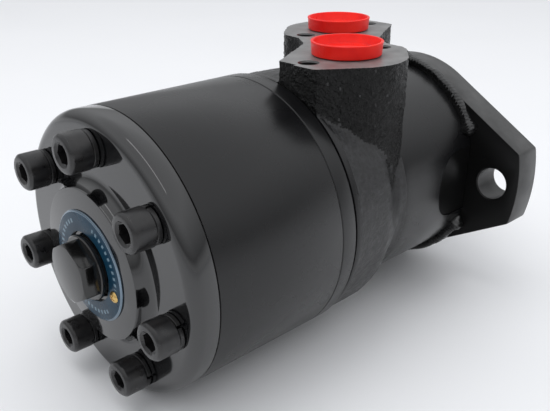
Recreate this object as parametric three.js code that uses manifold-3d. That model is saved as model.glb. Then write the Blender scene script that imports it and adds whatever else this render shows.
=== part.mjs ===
// Orbital hydraulic motor with a roller-vane rotor set, a spool-type output shaft and a two-bolt flange.
// Units are millimetres. X runs along the shaft and points out of the shaft end, Z points up through
// the port pad, and the origin is on the shaft axis in the plane of the mounting face.
import * as THREE from 'three';
import { mergeVertices } from 'three/addons/utils/BufferGeometryUtils.js';
import Module from 'manifold-3d';

const wasm = await Module();
wasm.setup();

// ---- driving dimensions -------------------------------------------------------------------------
const GAP = 0.3;
const FINE = 44;
const MEDIUM = 24;
const COARSE = 14;
const THROUGH = 400;

// stack along the shaft: mounting face at x = 0, everything else behind it
const BODY_R = 51;
const EDGE_CHAMFER = 0.5;
const HOUSING_JOINT_X = -99.3;
const PLATE_JOINT_X = -106.2;
const COVER_JOINT_X = -162;
const COVER_FACE_X = -171.7;
const HUB_FACE_X = -176.8;

// mounting flange
const FLANGE_T = 14;
const FLANGE_CENTRE_R = 45.3;
const FLANGE_TIP_R = 65.5;
const LUG_SLOPE = Math.PI / 6;
const LUG_HOLE_R = 6.75;
const LUG_HOLE_Y = 53.2;
const PILOT_R = 41.25;
const PILOT_H = 6;
const WELD_GAP = 0.35;
const WELD_LEG = 2.6;
const WELD_THROAT = 1.55;

// housing
const NECK_R = 44;
const CAST_R = 50;
const NOSE_R = 31;
const NOSE_END_X = 5.4;
const SPOOL_BORE_R = 18.35;
const SPOOL_BORE_END_X = -20.8;
const SHOULDER_BORE_R = 15.2;
const FRONT_POCKET_R = 20;
const FRONT_POCKET_X = -17.5;
const CAST_FRONT_X = -80;
const NECK_REAR_X = -67.5;
const RELIEF_Y = 41;
const RELIEF_HALF_H = 14.6;
const RELIEF_ARC_X = -24;

// port pad: two round lobes, one ahead of the other
const PAD_Z = 57.2;
const PAD_ROOT_Z = 12;
const FRONT_PORT = new THREE.Vector2(-72.5, -19);
const REAR_PORT = new THREE.Vector2(-35, 19);
const LOBE_R = 22.8;
const LOBE_EAR_X = 26.8;
const LOBE_EAR_Y = 8.5;
const PAD_NOTCH = new THREE.Vector2(15, -6.6);
const PORT_R = 9.5;
const PORT_DEPTH = 16;
const PORT_DRILL_R = 5;
const PAD_SCREW_R = 3.4;
const PAD_SCREW_SPACING = 40;
const PAD_SCREW_DEPTH = 12;

// cover screws, M8
const SCREWS = 7;
const SCREW_CIRCLE_R = 40.3;
const SCREW_PHASE = THREE.MathUtils.degToRad(40);
const SCREW_HEAD_R = 6.5;
const SCREW_HEAD_H = 8;
const SCREW_SHANK_R = 3.9;
const SCREW_HOLE_R = 4.3;
const SCREW_TIP_X = -84;
const SOCKET_ACROSS_FLATS = 6;
const SOCKET_DEPTH = 4.5;
const WASHER_T = 1.7;

// rotor set: seven rollers around a six-lobed rotor
const ROLLERS = 7;
const LOBES = ROLLERS - 1;
const ECCENTRICITY = 2.6;
const ROLLER_CIRCLE_R = 27;
const ROLLER_R = 6.2;
const ROLLER_PHASE = SCREW_PHASE + Math.PI / SCREWS;
const POCKET_R = 6.45;
const RING_BORE_R = 26.4;
const ROTOR_CLEARANCE = 0.2;
const ROTOR_POINTS = 72;
const SPACER_R = 11;
const VALLEY_CROWDING = 0.56;

// splined drive link between the rotor and the output shaft
const ROTOR_SPLINE_X = -134;
const SHAFT_SPLINE_X = -46;
const TEETH = 10;
const LINK_ROOT_R = 8.3;
const LINK_TIP_R = 10.6;
const LINK_SHANK_R = 7;
const LINK_HEAD_L = 18;
const LINK_OVERRUN = 3;
const SOCKET_TOOTH_R = 9.2;
const SOCKET_ROOT_R = 11.6;
const SPLINE_L = 22;
const LINK_HALF_DEGREES = [8, 6];
const SOCKET_HALF_DEGREES = [12, 10.5];
const LINK_TILT = Math.atan(ECCENTRICITY / (SHAFT_SPLINE_X - ROTOR_SPLINE_X));

// output shaft
const SPOOL_R = 18;
const SPOOL_REAR_X = -97.3;
const SPOOL_FRONT_X = -28;
const JOURNAL_R = 14;
const JOURNAL_END_X = 9;
const SHAFT_R = 12.5;
const SHAFT_END_X = 43;
const SPOOL_GROOVE_R = 15.6;
const FRONT_GROOVE_HALF_W = 6;
const REAR_GROOVE_HALF_W = 4.5;
const SPOOL_SLOT_W = 4;
const SPOOL_SLOT_PAIRS = 6;
const FRONT_SLOT_END_X = -48;
const REAR_SLOT_START_X = -60;
const END_HOLE_R = 3.4;
const END_HOLE_DEPTH = 18;
const SPOOL_SLOT_FLOOR_R = 15.8;
const SHAFT_HOLLOW_R = 13;
const KEY_W = 8;
const KEY_H = 7;
const KEY_L = 32;
const KEY_START_X = 9.5;
const KEY_TOP_Z = 15.5;

// name ring and drain plug on the cover's hub
const HUB_R = 27.4;
const COVER_EDGE_R = 4.6;
const RING_OUTER_R = 19.9;
const RING_INNER_R = 12.5;
const RING_T = 0.8;
const PLUG_HOLE_R = 6.1;
const PLUG_COLLAR_R = 11.6;
const PLUG_HEX_R = 11.3;
const PLUG_FACE_X = -185.5;
const PLUG_SHANK_R = 5.6;
const PLUG_COLLAR_T = 1.5;
const PLUG_WASHER_X = [HUB_FACE_X - 1.1, HUB_FACE_X - 0.2];
const PLUG_WASHER_R = 10.6;
const PIN_CIRCLE_R = 16;
const PIN_ANGLE = THREE.MathUtils.degToRad(200);
const PIN_HEAD_R = 2.1;
const PIN_SHANK_R = 1.1;
const PIN_DEPTH = 3.4;

// timing passages between the spool and the rotor set
const PASSAGE_CIRCLE_R = 26;
const PASSAGE_R = 2.6;
const PASSAGE_PHASE = THREE.MathUtils.degToRad(114.3);
const PASSAGE_END_X = -50;
const PASSAGE_LAND = 0.6;
const TIMING_PORT_X = [-57, -51];
const TIMING_PORT_HALF_W = 2.4;
const CHAMBER_PHASE = SCREW_PHASE + (4 * Math.PI) / SCREWS;

// O-rings
const ORING_R = 34.75;
const ORING_SECTION_R = 0.7;
const ORING_GROOVE_HALF_W = 1.05;
const ORING_GROOVE_DEPTH = 1.5;

// bearings and seals round the journal, each as the x where it starts and ends
const THRUST_WASHER_REAR_X = [-27.7, -26.5];
const THRUST_CAGE_X = [-26.2, -22.6];
const THRUST_WASHER_FRONT_X = [-22.3, -21.1];
const NEEDLE_CUP_X = [-17.2, -4.2];
const NEEDLE_CAGE_X = [-16.8, -4.6];
const NEEDLE_CUP_BORE_R = 17.4;
const SHAFT_SEAL_X = [-3.9, 1];
const RETAINING_RING_X = [1.3, 2.5];
const RETAINING_RING_BORE_R = 16.5;
const DUST_SEAL_X = [2.8, 5.2];
const POCKET_FIT_R = FRONT_POCKET_R - GAP;

// port caps
const CAP_FLANGE_R = 13;
const CAP_RIM_R = 13.4;
const CAP_STEM_R = 9.1;
const CAP_WALL = 1.4;
const CAP_HEIGHT = 5.2;
const CAP_DEPTH = 9;

// ---- materials ----------------------------------------------------------------------------------
function metal(color, roughness, metalness) {
  return new THREE.MeshStandardMaterial({ color, roughness, metalness });
}
const blackPaint = metal(0x141517, 0.3, 0.0);
const blackOxide = metal(0x1b1b1c, 0.45, 0.7);
const steel = metal(0xb4b6b8, 0.3, 1.0);
const brass = metal(0xc9a24a, 0.35, 1.0);
const redPlastic = metal(0xd8201c, 0.4, 0.0);
const bluePaint = metal(0x1f5f88, 0.4, 0.3);
const darkSteel = metal(0x4a4c4e, 0.45, 0.9);
const rubber = metal(0x202020, 0.7, 0.0);
const bearingCage = metal(0x8c8a80, 0.4, 0.8);

// ---- building helpers ---------------------------------------------------------------------------
function solidOf(geometry) {
  const bare = geometry.clone();
  bare.deleteAttribute('normal');
  bare.deleteAttribute('uv');
  const merged = mergeVertices(bare, 1e-4);
  const corners = Array.from(merged.index.array);
  const kept = [];
  for (let i = 0; i < corners.length; i += 3) {
    const [a, b, c] = corners.slice(i, i + 3);
    if (a !== b && b !== c && c !== a) kept.push(a, b, c);
  }
  const vertProperties = new Float32Array(merged.attributes.position.array);
  const triVerts = new Uint32Array(kept);
  return new wasm.Manifold(new wasm.Mesh({ numProp: 3, vertProperties, triVerts }));
}

function geometryOf(solid) {
  const mesh = solid.getMesh();
  const geometry = new THREE.BufferGeometry();
  geometry.setAttribute('position', new THREE.BufferAttribute(new Float32Array(mesh.vertProperties), 3));
  geometry.setIndex(new THREE.BufferAttribute(new Uint32Array(mesh.triVerts), 1));
  geometry.computeVertexNormals();
  return geometry;
}

// a profile of [x, radius] pairs turned about the X axis; a profile off the axis is closed into a ring
function turned(profile, segments) {
  const points = profile.map(([x, r]) => new THREE.Vector2(r, x));
  const onAxis = points[0].x === 0 && points[points.length - 1].x === 0;
  let area = 0;
  for (let i = 0; i < points.length; i += 1) {
    const next = points[(i + 1) % points.length];
    area += points[i].x * next.y - next.x * points[i].y;
  }
  if (area < 0) points.reverse();
  if (!onAxis) points.push(points[0].clone());
  return new THREE.LatheGeometry(points, segments).rotateZ(-Math.PI / 2);
}

function turnedSolid(profile, segments) {
  return solidOf(turned(profile, segments));
}

function rod(x0, x1, radius, segments) {
  return turnedSolid([[x0, 0], [x0, radius], [x1, radius], [x1, 0]], segments);
}

function ring(x0, x1, inner, outer, segments) {
  return turned([[x0, inner], [x0, outer], [x1, outer], [x1, inner]], segments);
}

// a cylinder parallel to X whose centre is at the polar place (radius, angle) in the YZ plane
function rodAt(x0, x1, radius, circleR, angle, segments) {
  const y = circleR * Math.cos(angle);
  const z = circleR * Math.sin(angle);
  return rod(x0, x1, radius, segments).translate([0, y, z]);
}

// a shape drawn in (y, z) and extruded from x0 to x1
function extrudedX(shape, x0, x1, curveSegments) {
  const geometry = new THREE.ExtrudeGeometry(shape, { depth: x1 - x0, bevelEnabled: false, curveSegments });
  const turn = new THREE.Matrix4().makeBasis(
    new THREE.Vector3(0, 1, 0),
    new THREE.Vector3(0, 0, 1),
    new THREE.Vector3(1, 0, 0),
  );
  return geometry.applyMatrix4(turn).translate(x0, 0, 0);
}

// a shape drawn in (x, y) and extruded from z0 to z1
function extrudedZ(shape, z0, z1, curveSegments) {
  const options = { depth: z1 - z0, bevelEnabled: false, curveSegments };
  return new THREE.ExtrudeGeometry(shape, options).translate(0, 0, z0);
}

function box(x0, x1, y0, y1, z0, z1) {
  const geometry = new THREE.BoxGeometry(x1 - x0, y1 - y0, z1 - z0);
  return solidOf(geometry.translate((x0 + x1) / 2, (y0 + y1) / 2, (z0 + z1) / 2));
}

function uprightRod(x, y, z0, z1, radius, segments) {
  const geometry = new THREE.CylinderGeometry(radius, radius, z1 - z0, segments).rotateX(Math.PI / 2);
  return solidOf(geometry.translate(x, y, (z0 + z1) / 2));
}

function screwAngle(i) {
  return SCREW_PHASE + (2 * Math.PI * i) / SCREWS;
}

function withScrewHoles(solid, x0, x1) {
  let cut = solid;
  for (let i = 0; i < SCREWS; i += 1) {
    cut = cut.subtract(rodAt(x0, x1, SCREW_HOLE_R, SCREW_CIRCLE_R, screwAngle(i), COARSE));
  }
  return cut;
}

function oringGroove(x0, x1) {
  return solidOf(ring(x0, x1, ORING_R - ORING_GROOVE_HALF_W, ORING_R + ORING_GROOVE_HALF_W, FINE));
}

// an outline of straight-sided teeth; each tooth is `rootHalf` wide at the root and `tipHalf` at the tip
function toothedPoints(rootR, tipR, rootHalf, tipHalf) {
  const points = [];
  for (let i = 0; i < TEETH; i += 1) {
    const a = (2 * Math.PI * i) / TEETH;
    const corners = [[rootR, -rootHalf], [tipR, -tipHalf], [tipR, tipHalf], [rootR, rootHalf]];
    for (const [r, da] of corners) {
      const angle = a + THREE.MathUtils.degToRad(da);
      points.push(new THREE.Vector2(r * Math.cos(angle), r * Math.sin(angle)));
    }
  }
  return points;
}

// the internal spline as a cutter: its teeth are the spaces that the link's teeth sit in
function splineCutter(x0, x1) {
  const shape = new THREE.Shape(toothedPoints(SOCKET_TOOTH_R, SOCKET_ROOT_R, ...SOCKET_HALF_DEGREES));
  return solidOf(extrudedX(shape, x0, x1, 1));
}

const motor = new THREE.Group();

function addTo(parent, name, geometry, material) {
  const mesh = new THREE.Mesh(geometry, material);
  mesh.name = name;
  parent.add(mesh);
  return mesh;
}

// ---- housing ------------------------------------------------------------------------------------
function lobeHalf(shape, centre, sign) {
  // one lobe of the pad from its inner notch round to the far ear, tangent to the round boss
  const reach = Math.hypot(LOBE_EAR_X, LOBE_EAR_Y);
  const bearing = Math.atan2(LOBE_EAR_Y, LOBE_EAR_X);
  const tangent = Math.acos(LOBE_R / reach);
  const from = -bearing - tangent;
  const to = Math.PI + bearing + tangent - 2 * Math.PI;
  const steps = 10;
  const place = (dx, dy) => shape.push(new THREE.Vector2(centre.x + sign * dx, centre.y + sign * dy));
  const middle = FRONT_PORT.clone().add(REAR_PORT).multiplyScalar(0.5);
  shape.push(new THREE.Vector2(middle.x + sign * PAD_NOTCH.x, middle.y + sign * PAD_NOTCH.y));
  place(LOBE_EAR_X, LOBE_EAR_Y - 6);
  place(LOBE_EAR_X - 0.6, -LOBE_EAR_Y + 3);
  place(LOBE_EAR_X - 3, -LOBE_EAR_Y - 1);
  for (let i = 1; i <= steps; i += 1) {
    const a = from + ((to - from) * i) / steps;
    place(LOBE_R * Math.cos(a), LOBE_R * Math.sin(a));
  }
  place(-LOBE_EAR_X, -LOBE_EAR_Y);
  place(-LOBE_EAR_X, LOBE_EAR_Y);
}

function portPad() {
  const outline = [];
  lobeHalf(outline, FRONT_PORT, 1);
  lobeHalf(outline, REAR_PORT, -1);
  outline.reverse();
  return solidOf(extrudedZ(new THREE.Shape(outline), PAD_ROOT_Z, PAD_Z, 1));
}

function housingBody() {
  const rear = HOUSING_JOINT_X + GAP / 2;
  const front = -FLANGE_T - GAP;
  return turnedSolid([
    [rear, 0],
    [rear, BODY_R - 1.6],
    [rear + 1.2, BODY_R - 0.4],
    [rear + 8, BODY_R - 0.4],
    [rear + 9.5, CAST_R],
    [CAST_FRONT_X, CAST_R],
    [CAST_FRONT_X + 5, CAST_R - 1.6],
    [NECK_REAR_X - 3.5, NECK_R + 1.6],
    [NECK_REAR_X, NECK_R],
    [front, NECK_R],
    [front, NOSE_R],
    [NOSE_END_X - 0.6, NOSE_R],
    [NOSE_END_X, NOSE_R - 0.6],
    [NOSE_END_X, 0],
  ], FINE);
}

function boltRelief(side) {
  const front = -FLANGE_T + GAP;
  const slot = box(RELIEF_ARC_X, front, RELIEF_Y, RELIEF_Y + 10, -RELIEF_HALF_H, RELIEF_HALF_H);
  const end = uprightRod(0, 0, 0, 10, RELIEF_HALF_H, COARSE).rotate([-90, 0, 0]);
  const cutter = slot.add(end.translate([RELIEF_ARC_X, RELIEF_Y, 0]));
  return side > 0 ? cutter : cutter.rotate([180, 0, 0]);
}

function housing() {
  const rear = HOUSING_JOINT_X;
  const flangeSpace = extrudedX(flangeOutline(GAP), -FLANGE_T - GAP, GAP, 16);
  const pad = portPad().subtract(solidOf(flangeSpace));
  let solid = housingBody().add(pad);
  solid = solid.subtract(box(rear - 20, rear + GAP / 2, -80, 80, -80, 80));
  solid = solid.subtract(rod(rear - 1, SPOOL_BORE_END_X, SPOOL_BORE_R, FINE));
  solid = solid.subtract(rod(SPOOL_BORE_END_X - 1, FRONT_POCKET_X + 1, SHOULDER_BORE_R, FINE));
  solid = solid.subtract(rod(FRONT_POCKET_X, NOSE_END_X + 1, FRONT_POCKET_R, FINE));
  solid = solid.subtract(boltRelief(1)).subtract(boltRelief(-1));
  for (const port of [FRONT_PORT, REAR_PORT]) {
    solid = solid.subtract(uprightRod(port.x, port.y, PAD_Z - PORT_DEPTH, PAD_Z + 1, PORT_R, MEDIUM));
    solid = solid.subtract(uprightRod(port.x, port.y, 3, PAD_Z, PORT_DRILL_R, COARSE));
    for (const side of [-1, 1]) {
      const x = port.x + (side * PAD_SCREW_SPACING) / 2;
      const floor = PAD_Z - PAD_SCREW_DEPTH;
      solid = solid.subtract(uprightRod(x, port.y, floor, PAD_Z + 1, PAD_SCREW_R, COARSE));
    }
  }
  for (let i = 0; i < SCREWS; i += 1) {
    const angle = PASSAGE_PHASE + (2 * Math.PI * i) / SCREWS;
    const degrees = THREE.MathUtils.radToDeg(angle);
    const passage = rodAt(rear - 1, PASSAGE_END_X, PASSAGE_R, PASSAGE_CIRCLE_R, angle, 8);
    const [x0, x1] = TIMING_PORT_X;
    const half = TIMING_PORT_HALF_W;
    const timingPort = box(x0, x1, SPOOL_BORE_R - 2, PASSAGE_CIRCLE_R, -half, half);
    solid = solid.subtract(passage).subtract(timingPort.rotate([degrees, 0, 0]));
  }
  solid = solid.subtract(oringGroove(rear - 1, rear + GAP / 2 + ORING_GROOVE_DEPTH));
  return withScrewHoles(solid, rear - 1, SCREW_TIP_X + 3);
}

// ---- mounting flange ----------------------------------------------------------------------------
function flangeOutline(margin) {
  // centre circle, tangent sides and ends turned on the shaft axis
  const shape = new THREE.Shape();
  const centreR = FLANGE_CENTRE_R + margin;
  const tipR = FLANGE_TIP_R + margin;
  const tangentAngle = Math.PI / 2 - LUG_SLOPE;
  const tangentY = centreR * Math.cos(tangentAngle);
  const tangentZ = centreR * Math.sin(tangentAngle);
  const along = Math.sqrt(tipR ** 2 - centreR ** 2);
  const endY = tangentY + along * Math.cos(LUG_SLOPE);
  const endZ = tangentZ - along * Math.sin(LUG_SLOPE);
  const end = Math.atan2(endZ, endY);
  shape.moveTo(tangentY, tangentZ);
  shape.absarc(0, 0, centreR, tangentAngle, Math.PI - tangentAngle, false);
  shape.absarc(0, 0, tipR, Math.PI - end, Math.PI + end, false);
  shape.absarc(0, 0, centreR, Math.PI + tangentAngle, 2 * Math.PI - tangentAngle, false);
  shape.absarc(0, 0, tipR, -end, end, false);
  return shape;
}

function mountingFlange() {
  let solid = solidOf(extrudedX(flangeOutline(0), -FLANGE_T, 0, 16));
  const pilot = turnedSolid([
    [-2, 0], [-2, PILOT_R], [PILOT_H - 1, PILOT_R], [PILOT_H, PILOT_R - 1], [PILOT_H, 0],
  ], FINE);
  solid = solid.add(pilot).subtract(rod(-FLANGE_T - 1, PILOT_H + 1, NOSE_R + GAP, FINE));
  for (const y of [-LUG_HOLE_Y, LUG_HOLE_Y]) {
    solid = solid.subtract(rod(-FLANGE_T - 1, 1, LUG_HOLE_R, MEDIUM).translate([0, y, 0]));
  }
  return solid;
}

// a fillet weld between the neck and the plate, from one bolt relief over to the other
function weldRun(startDegrees, endDegrees) {
  const root = NECK_R + WELD_GAP;
  const face = -FLANGE_T - WELD_GAP;
  const profile = [
    [face, root],
    [face, root + WELD_LEG],
    [face - WELD_THROAT, root + WELD_THROAT],
    [face - WELD_LEG, root],
  ];
  const start = THREE.MathUtils.degToRad(startDegrees);
  const sweep = THREE.MathUtils.degToRad(endDegrees - startDegrees);
  const full = solidOf(turned(profile, FINE));
  const wedge = new THREE.Shape();
  wedge.moveTo(0, 0);
  wedge.absarc(0, 0, NECK_R + 20, start, start + sweep, false);
  wedge.lineTo(0, 0);
  return full.intersect(solidOf(extrudedX(wedge, -THROUGH, 0, 12)));
}

// ---- rotor section ------------------------------------------------------------------------------
function distributorPlate() {
  const x0 = PLATE_JOINT_X + GAP / 2;
  const x1 = HOUSING_JOINT_X - GAP / 2;
  let solid = turnedSolid([
    [x0, 0],
    [x0, BODY_R - EDGE_CHAMFER],
    [x0 + EDGE_CHAMFER, BODY_R],
    [x1 - 1, BODY_R],
    [x1, BODY_R - 1],
    [x1, 0],
  ], FINE);
  solid = solid.subtract(rod(x0 - 1, x1 + 1, SHAFT_HOLLOW_R, MEDIUM));
  const pitch = (2 * Math.PI) / SCREWS;
  for (let i = 0; i < SCREWS; i += 1) {
    const passage = PASSAGE_PHASE + pitch * i;
    const chamber = CHAMBER_PHASE + pitch * i;
    const low = Math.min(passage, chamber);
    const high = Math.max(passage, chamber);
    const slot = new THREE.Shape();
    slot.absarc(0, 0, PASSAGE_CIRCLE_R + PASSAGE_R - PASSAGE_LAND, low, high, false);
    slot.absarc(0, 0, PASSAGE_CIRCLE_R - PASSAGE_R + PASSAGE_LAND, high, low, true);
    solid = solid.subtract(solidOf(extrudedX(slot, x0 - 1, x1 + 1, 4)));
  }
  solid = solid.subtract(oringGroove(x0 - 1, x0 + ORING_GROOVE_DEPTH));
  return withScrewHoles(solid, x0 - 1, x1 + 1);
}

function statorRing() {
  const x0 = COVER_JOINT_X + GAP / 2;
  const x1 = PLATE_JOINT_X - GAP / 2;
  let solid = turnedSolid([
    [x0, 0],
    [x0, BODY_R - EDGE_CHAMFER],
    [x0 + EDGE_CHAMFER, BODY_R],
    [x1 - EDGE_CHAMFER, BODY_R],
    [x1, BODY_R - EDGE_CHAMFER],
    [x1, 0],
  ], FINE);
  solid = solid.subtract(rod(x0 - 1, x1 + 1, RING_BORE_R, FINE));
  for (let i = 0; i < ROLLERS; i += 1) {
    solid = solid.subtract(rodAt(x0 - 1, x1 + 1, POCKET_R, ROLLER_CIRCLE_R, rollerAngle(i), COARSE));
  }
  return withScrewHoles(solid, x0 - 1, x1 + 1);
}

function rollerAngle(i) {
  return ROLLER_PHASE + (2 * Math.PI * i) / ROLLERS;
}

function roller() {
  const x0 = COVER_JOINT_X + GAP;
  const x1 = PLATE_JOINT_X - GAP;
  return turned([
    [x0, 0], [x0, ROLLER_R - 0.6], [x0 + 0.6, ROLLER_R],
    [x1 - 0.6, ROLLER_R], [x1, ROLLER_R - 0.6], [x1, 0],
  ], COARSE);
}

// the rotor's outline is the path of a roller's centre, seen from the rotor, moved in by the roller;
// the points crowd towards the valleys, where the outline turns about the roller
function rotorOutline() {
  const points = [];
  const inset = ROLLER_R + ROTOR_CLEARANCE;
  for (let i = 0; i < ROTOR_POINTS; i += 1) {
    const u = (2 * Math.PI * i) / ROTOR_POINTS;
    const t = u - (VALLEY_CROWDING / LOBES) * Math.sin(LOBES * u);
    const x = ROLLER_CIRCLE_R * Math.cos(t) - ECCENTRICITY * Math.cos(ROLLERS * t);
    const y = ROLLER_CIRCLE_R * Math.sin(t) - ECCENTRICITY * Math.sin(ROLLERS * t);
    const dx = -ROLLER_CIRCLE_R * Math.sin(t) + ROLLERS * ECCENTRICITY * Math.sin(ROLLERS * t);
    const dy = ROLLER_CIRCLE_R * Math.cos(t) - ROLLERS * ECCENTRICITY * Math.cos(ROLLERS * t);
    const length = Math.hypot(dx, dy);
    points.push(new THREE.Vector2(x - (dy / length) * inset, y + (dx / length) * inset));
  }
  return new THREE.Shape(points);
}

function rotor() {
  const x0 = COVER_JOINT_X + GAP;
  const x1 = PLATE_JOINT_X - GAP;
  const middle = ROTOR_SPLINE_X;
  let solid = solidOf(extrudedX(rotorOutline(), x0, x1, 1));
  solid = solid.subtract(rod(x0 - 1, middle - SPLINE_L / 2, SOCKET_ROOT_R, MEDIUM));
  solid = solid.subtract(rod(middle + SPLINE_L / 2, x1 + 1, SOCKET_ROOT_R, MEDIUM));
  return solid.subtract(splineCutter(middle - SPLINE_L / 2 - 0.01, middle + SPLINE_L / 2 + 0.01));
}

// ---- drive link ---------------------------------------------------------------------------------
function splineHead(centre) {
  const teeth = new THREE.Shape(toothedPoints(LINK_ROOT_R, LINK_TIP_R, ...LINK_HALF_DEGREES));
  return solidOf(extrudedX(teeth, centre - LINK_HEAD_L / 2, centre + LINK_HEAD_L / 2, 1));
}

function driveLink() {
  const half = (SHAFT_SPLINE_X - ROTOR_SPLINE_X) / 2 / Math.cos(LINK_TILT);
  const shank = turnedSolid([
    [-half - LINK_HEAD_L / 2 - LINK_OVERRUN, 0],
    [-half - LINK_HEAD_L / 2 - LINK_OVERRUN, LINK_SHANK_R],
    [-half - LINK_HEAD_L / 2 + 2, LINK_ROOT_R - 0.2],
    [-half + LINK_HEAD_L / 2, LINK_ROOT_R - 0.2],
    [-half + LINK_HEAD_L / 2 + 3, LINK_SHANK_R],
    [half - LINK_HEAD_L / 2 - 3, LINK_SHANK_R],
    [half - LINK_HEAD_L / 2, LINK_ROOT_R - 0.2],
    [half + LINK_HEAD_L / 2 - 2, LINK_ROOT_R - 0.2],
    [half + LINK_HEAD_L / 2, LINK_SHANK_R - 1],
    [half + LINK_HEAD_L / 2, 0],
  ], COARSE);
  return shank.add(splineHead(-half)).add(splineHead(half));
}

// ---- output shaft -------------------------------------------------------------------------------
function outputShaft() {
  let solid = turnedSolid([
    [SPOOL_REAR_X, 0],
    [SPOOL_REAR_X, SPOOL_R - 1],
    [SPOOL_REAR_X + 1, SPOOL_R],
    [FRONT_PORT.x - FRONT_GROOVE_HALF_W, SPOOL_R],
    [FRONT_PORT.x - FRONT_GROOVE_HALF_W, SPOOL_GROOVE_R],
    [FRONT_PORT.x + FRONT_GROOVE_HALF_W, SPOOL_GROOVE_R],
    [FRONT_PORT.x + FRONT_GROOVE_HALF_W, SPOOL_R],
    [REAR_PORT.x - REAR_GROOVE_HALF_W, SPOOL_R],
    [REAR_PORT.x - REAR_GROOVE_HALF_W, SPOOL_GROOVE_R],
    [REAR_PORT.x + REAR_GROOVE_HALF_W, SPOOL_GROOVE_R],
    [REAR_PORT.x + REAR_GROOVE_HALF_W, SPOOL_R],
    [SPOOL_FRONT_X, SPOOL_R],
    [SPOOL_FRONT_X, JOURNAL_R],
    [JOURNAL_END_X - 1.5, JOURNAL_R],
    [JOURNAL_END_X, SHAFT_R],
    [SHAFT_END_X - 1.2, SHAFT_R],
    [SHAFT_END_X, SHAFT_R - 1.2],
    [SHAFT_END_X, 0],
  ], MEDIUM);
  const splineEnd = SHAFT_SPLINE_X + SPLINE_L / 2;
  const splineStart = SHAFT_SPLINE_X - SPLINE_L / 2;
  solid = solid.subtract(rod(SPOOL_REAR_X - 1, splineStart, SHAFT_HOLLOW_R, MEDIUM));
  const spline = splineCutter(splineStart - 0.01, splineEnd);
  solid = solid.subtract(spline.rotate([THREE.MathUtils.radToDeg(ROLLER_PHASE), 0, 0]));
  for (let i = 0; i < 2 * SPOOL_SLOT_PAIRS; i += 1) {
    const fromFrontGroove = i % 2 === 0;
    const x0 = fromFrontGroove ? FRONT_PORT.x : REAR_SLOT_START_X;
    const x1 = fromFrontGroove ? FRONT_SLOT_END_X : REAR_PORT.x;
    const slot = box(x0, x1, SPOOL_SLOT_FLOOR_R, SPOOL_R + 2, -SPOOL_SLOT_W / 2, SPOOL_SLOT_W / 2);
    solid = solid.subtract(slot.rotate([(180 * i) / SPOOL_SLOT_PAIRS, 0, 0]));
  }
  const seat = box(KEY_START_X - GAP, KEY_START_X + KEY_L + GAP, -KEY_W / 2 - GAP, KEY_W / 2 + GAP,
    KEY_TOP_Z - KEY_H - GAP, KEY_TOP_Z + 5);
  solid = solid.subtract(seat);
  return solid.subtract(rod(SHAFT_END_X - END_HOLE_DEPTH, SHAFT_END_X + 1, END_HOLE_R, COARSE));
}

function shaftKey() {
  const shape = new THREE.Shape();
  const r = KEY_W / 2;
  shape.moveTo(KEY_START_X + r, -r);
  shape.lineTo(KEY_START_X + KEY_L - r, -r);
  shape.absarc(KEY_START_X + KEY_L - r, 0, r, -Math.PI / 2, Math.PI / 2, false);
  shape.lineTo(KEY_START_X + r, r);
  shape.absarc(KEY_START_X + r, 0, r, Math.PI / 2, (3 * Math.PI) / 2, false);
  return extrudedZ(shape, KEY_TOP_Z - KEY_H, KEY_TOP_Z, 8);
}

// ---- end cover and what it carries --------------------------------------------------------------
function endCover() {
  const x1 = COVER_JOINT_X - GAP / 2;
  const steps = 4;
  const profile = [[x1, 0], [x1, BODY_R - EDGE_CHAMFER], [x1 - EDGE_CHAMFER, BODY_R]];
  for (let i = 0; i <= steps; i += 1) {
    const a = (i / steps) * (Math.PI / 2);
    const x = COVER_FACE_X + COVER_EDGE_R - COVER_EDGE_R * Math.sin(a);
    profile.push([x, BODY_R - COVER_EDGE_R + COVER_EDGE_R * Math.cos(a)]);
  }
  profile.push([COVER_FACE_X, HUB_R + 1.6], [COVER_FACE_X - 0.6, HUB_R + 0.4]);
  profile.push([HUB_FACE_X + 0.5, HUB_R], [HUB_FACE_X, HUB_R - 0.5], [HUB_FACE_X, 0]);
  let solid = turnedSolid(profile, FINE);
  solid = solid.subtract(rod(HUB_FACE_X - 1, x1 + 1, PLUG_HOLE_R, COARSE));
  solid = solid.subtract(rodAt(HUB_FACE_X - 1, HUB_FACE_X + 3, 1.6, PIN_CIRCLE_R, PIN_ANGLE, 16));
  solid = solid.subtract(oringGroove(x1 - ORING_GROOVE_DEPTH, x1 + 1));
  return withScrewHoles(solid, COVER_FACE_X - 1, x1 + 1);
}

function hexagon(circumradius, phase) {
  const points = [];
  for (let i = 0; i < 6; i += 1) {
    const a = phase + (Math.PI * i) / 3;
    points.push(new THREE.Vector2(circumradius * Math.cos(a), circumradius * Math.sin(a)));
  }
  return new THREE.Shape(points);
}

function drainPlug() {
  const collarBack = PLUG_WASHER_X[0] - 0.2;
  const collarFront = collarBack - PLUG_COLLAR_T;
  const chamferR = PLUG_HEX_R * Math.cos(Math.PI / 6) - 0.3;
  const hex = solidOf(extrudedX(hexagon(PLUG_HEX_R, Math.PI / 2), PLUG_FACE_X, collarFront + 0.5, 1));
  const chamfer = turnedSolid([
    [PLUG_FACE_X, 0], [PLUG_FACE_X, chamferR], [PLUG_FACE_X + 1.4, PLUG_HEX_R + 0.2],
    [collarBack, PLUG_HEX_R + 0.2], [collarBack, 0],
  ], MEDIUM);
  const collar = turnedSolid([
    [collarFront, 0], [collarFront, PLUG_COLLAR_R - 0.4], [collarFront + 0.4, PLUG_COLLAR_R],
    [collarBack, PLUG_COLLAR_R], [collarBack, PLUG_SHANK_R], [COVER_JOINT_X - 2, PLUG_SHANK_R],
    [COVER_JOINT_X - 2, 0],
  ], MEDIUM);
  return hex.intersect(chamfer).add(collar);
}

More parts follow.
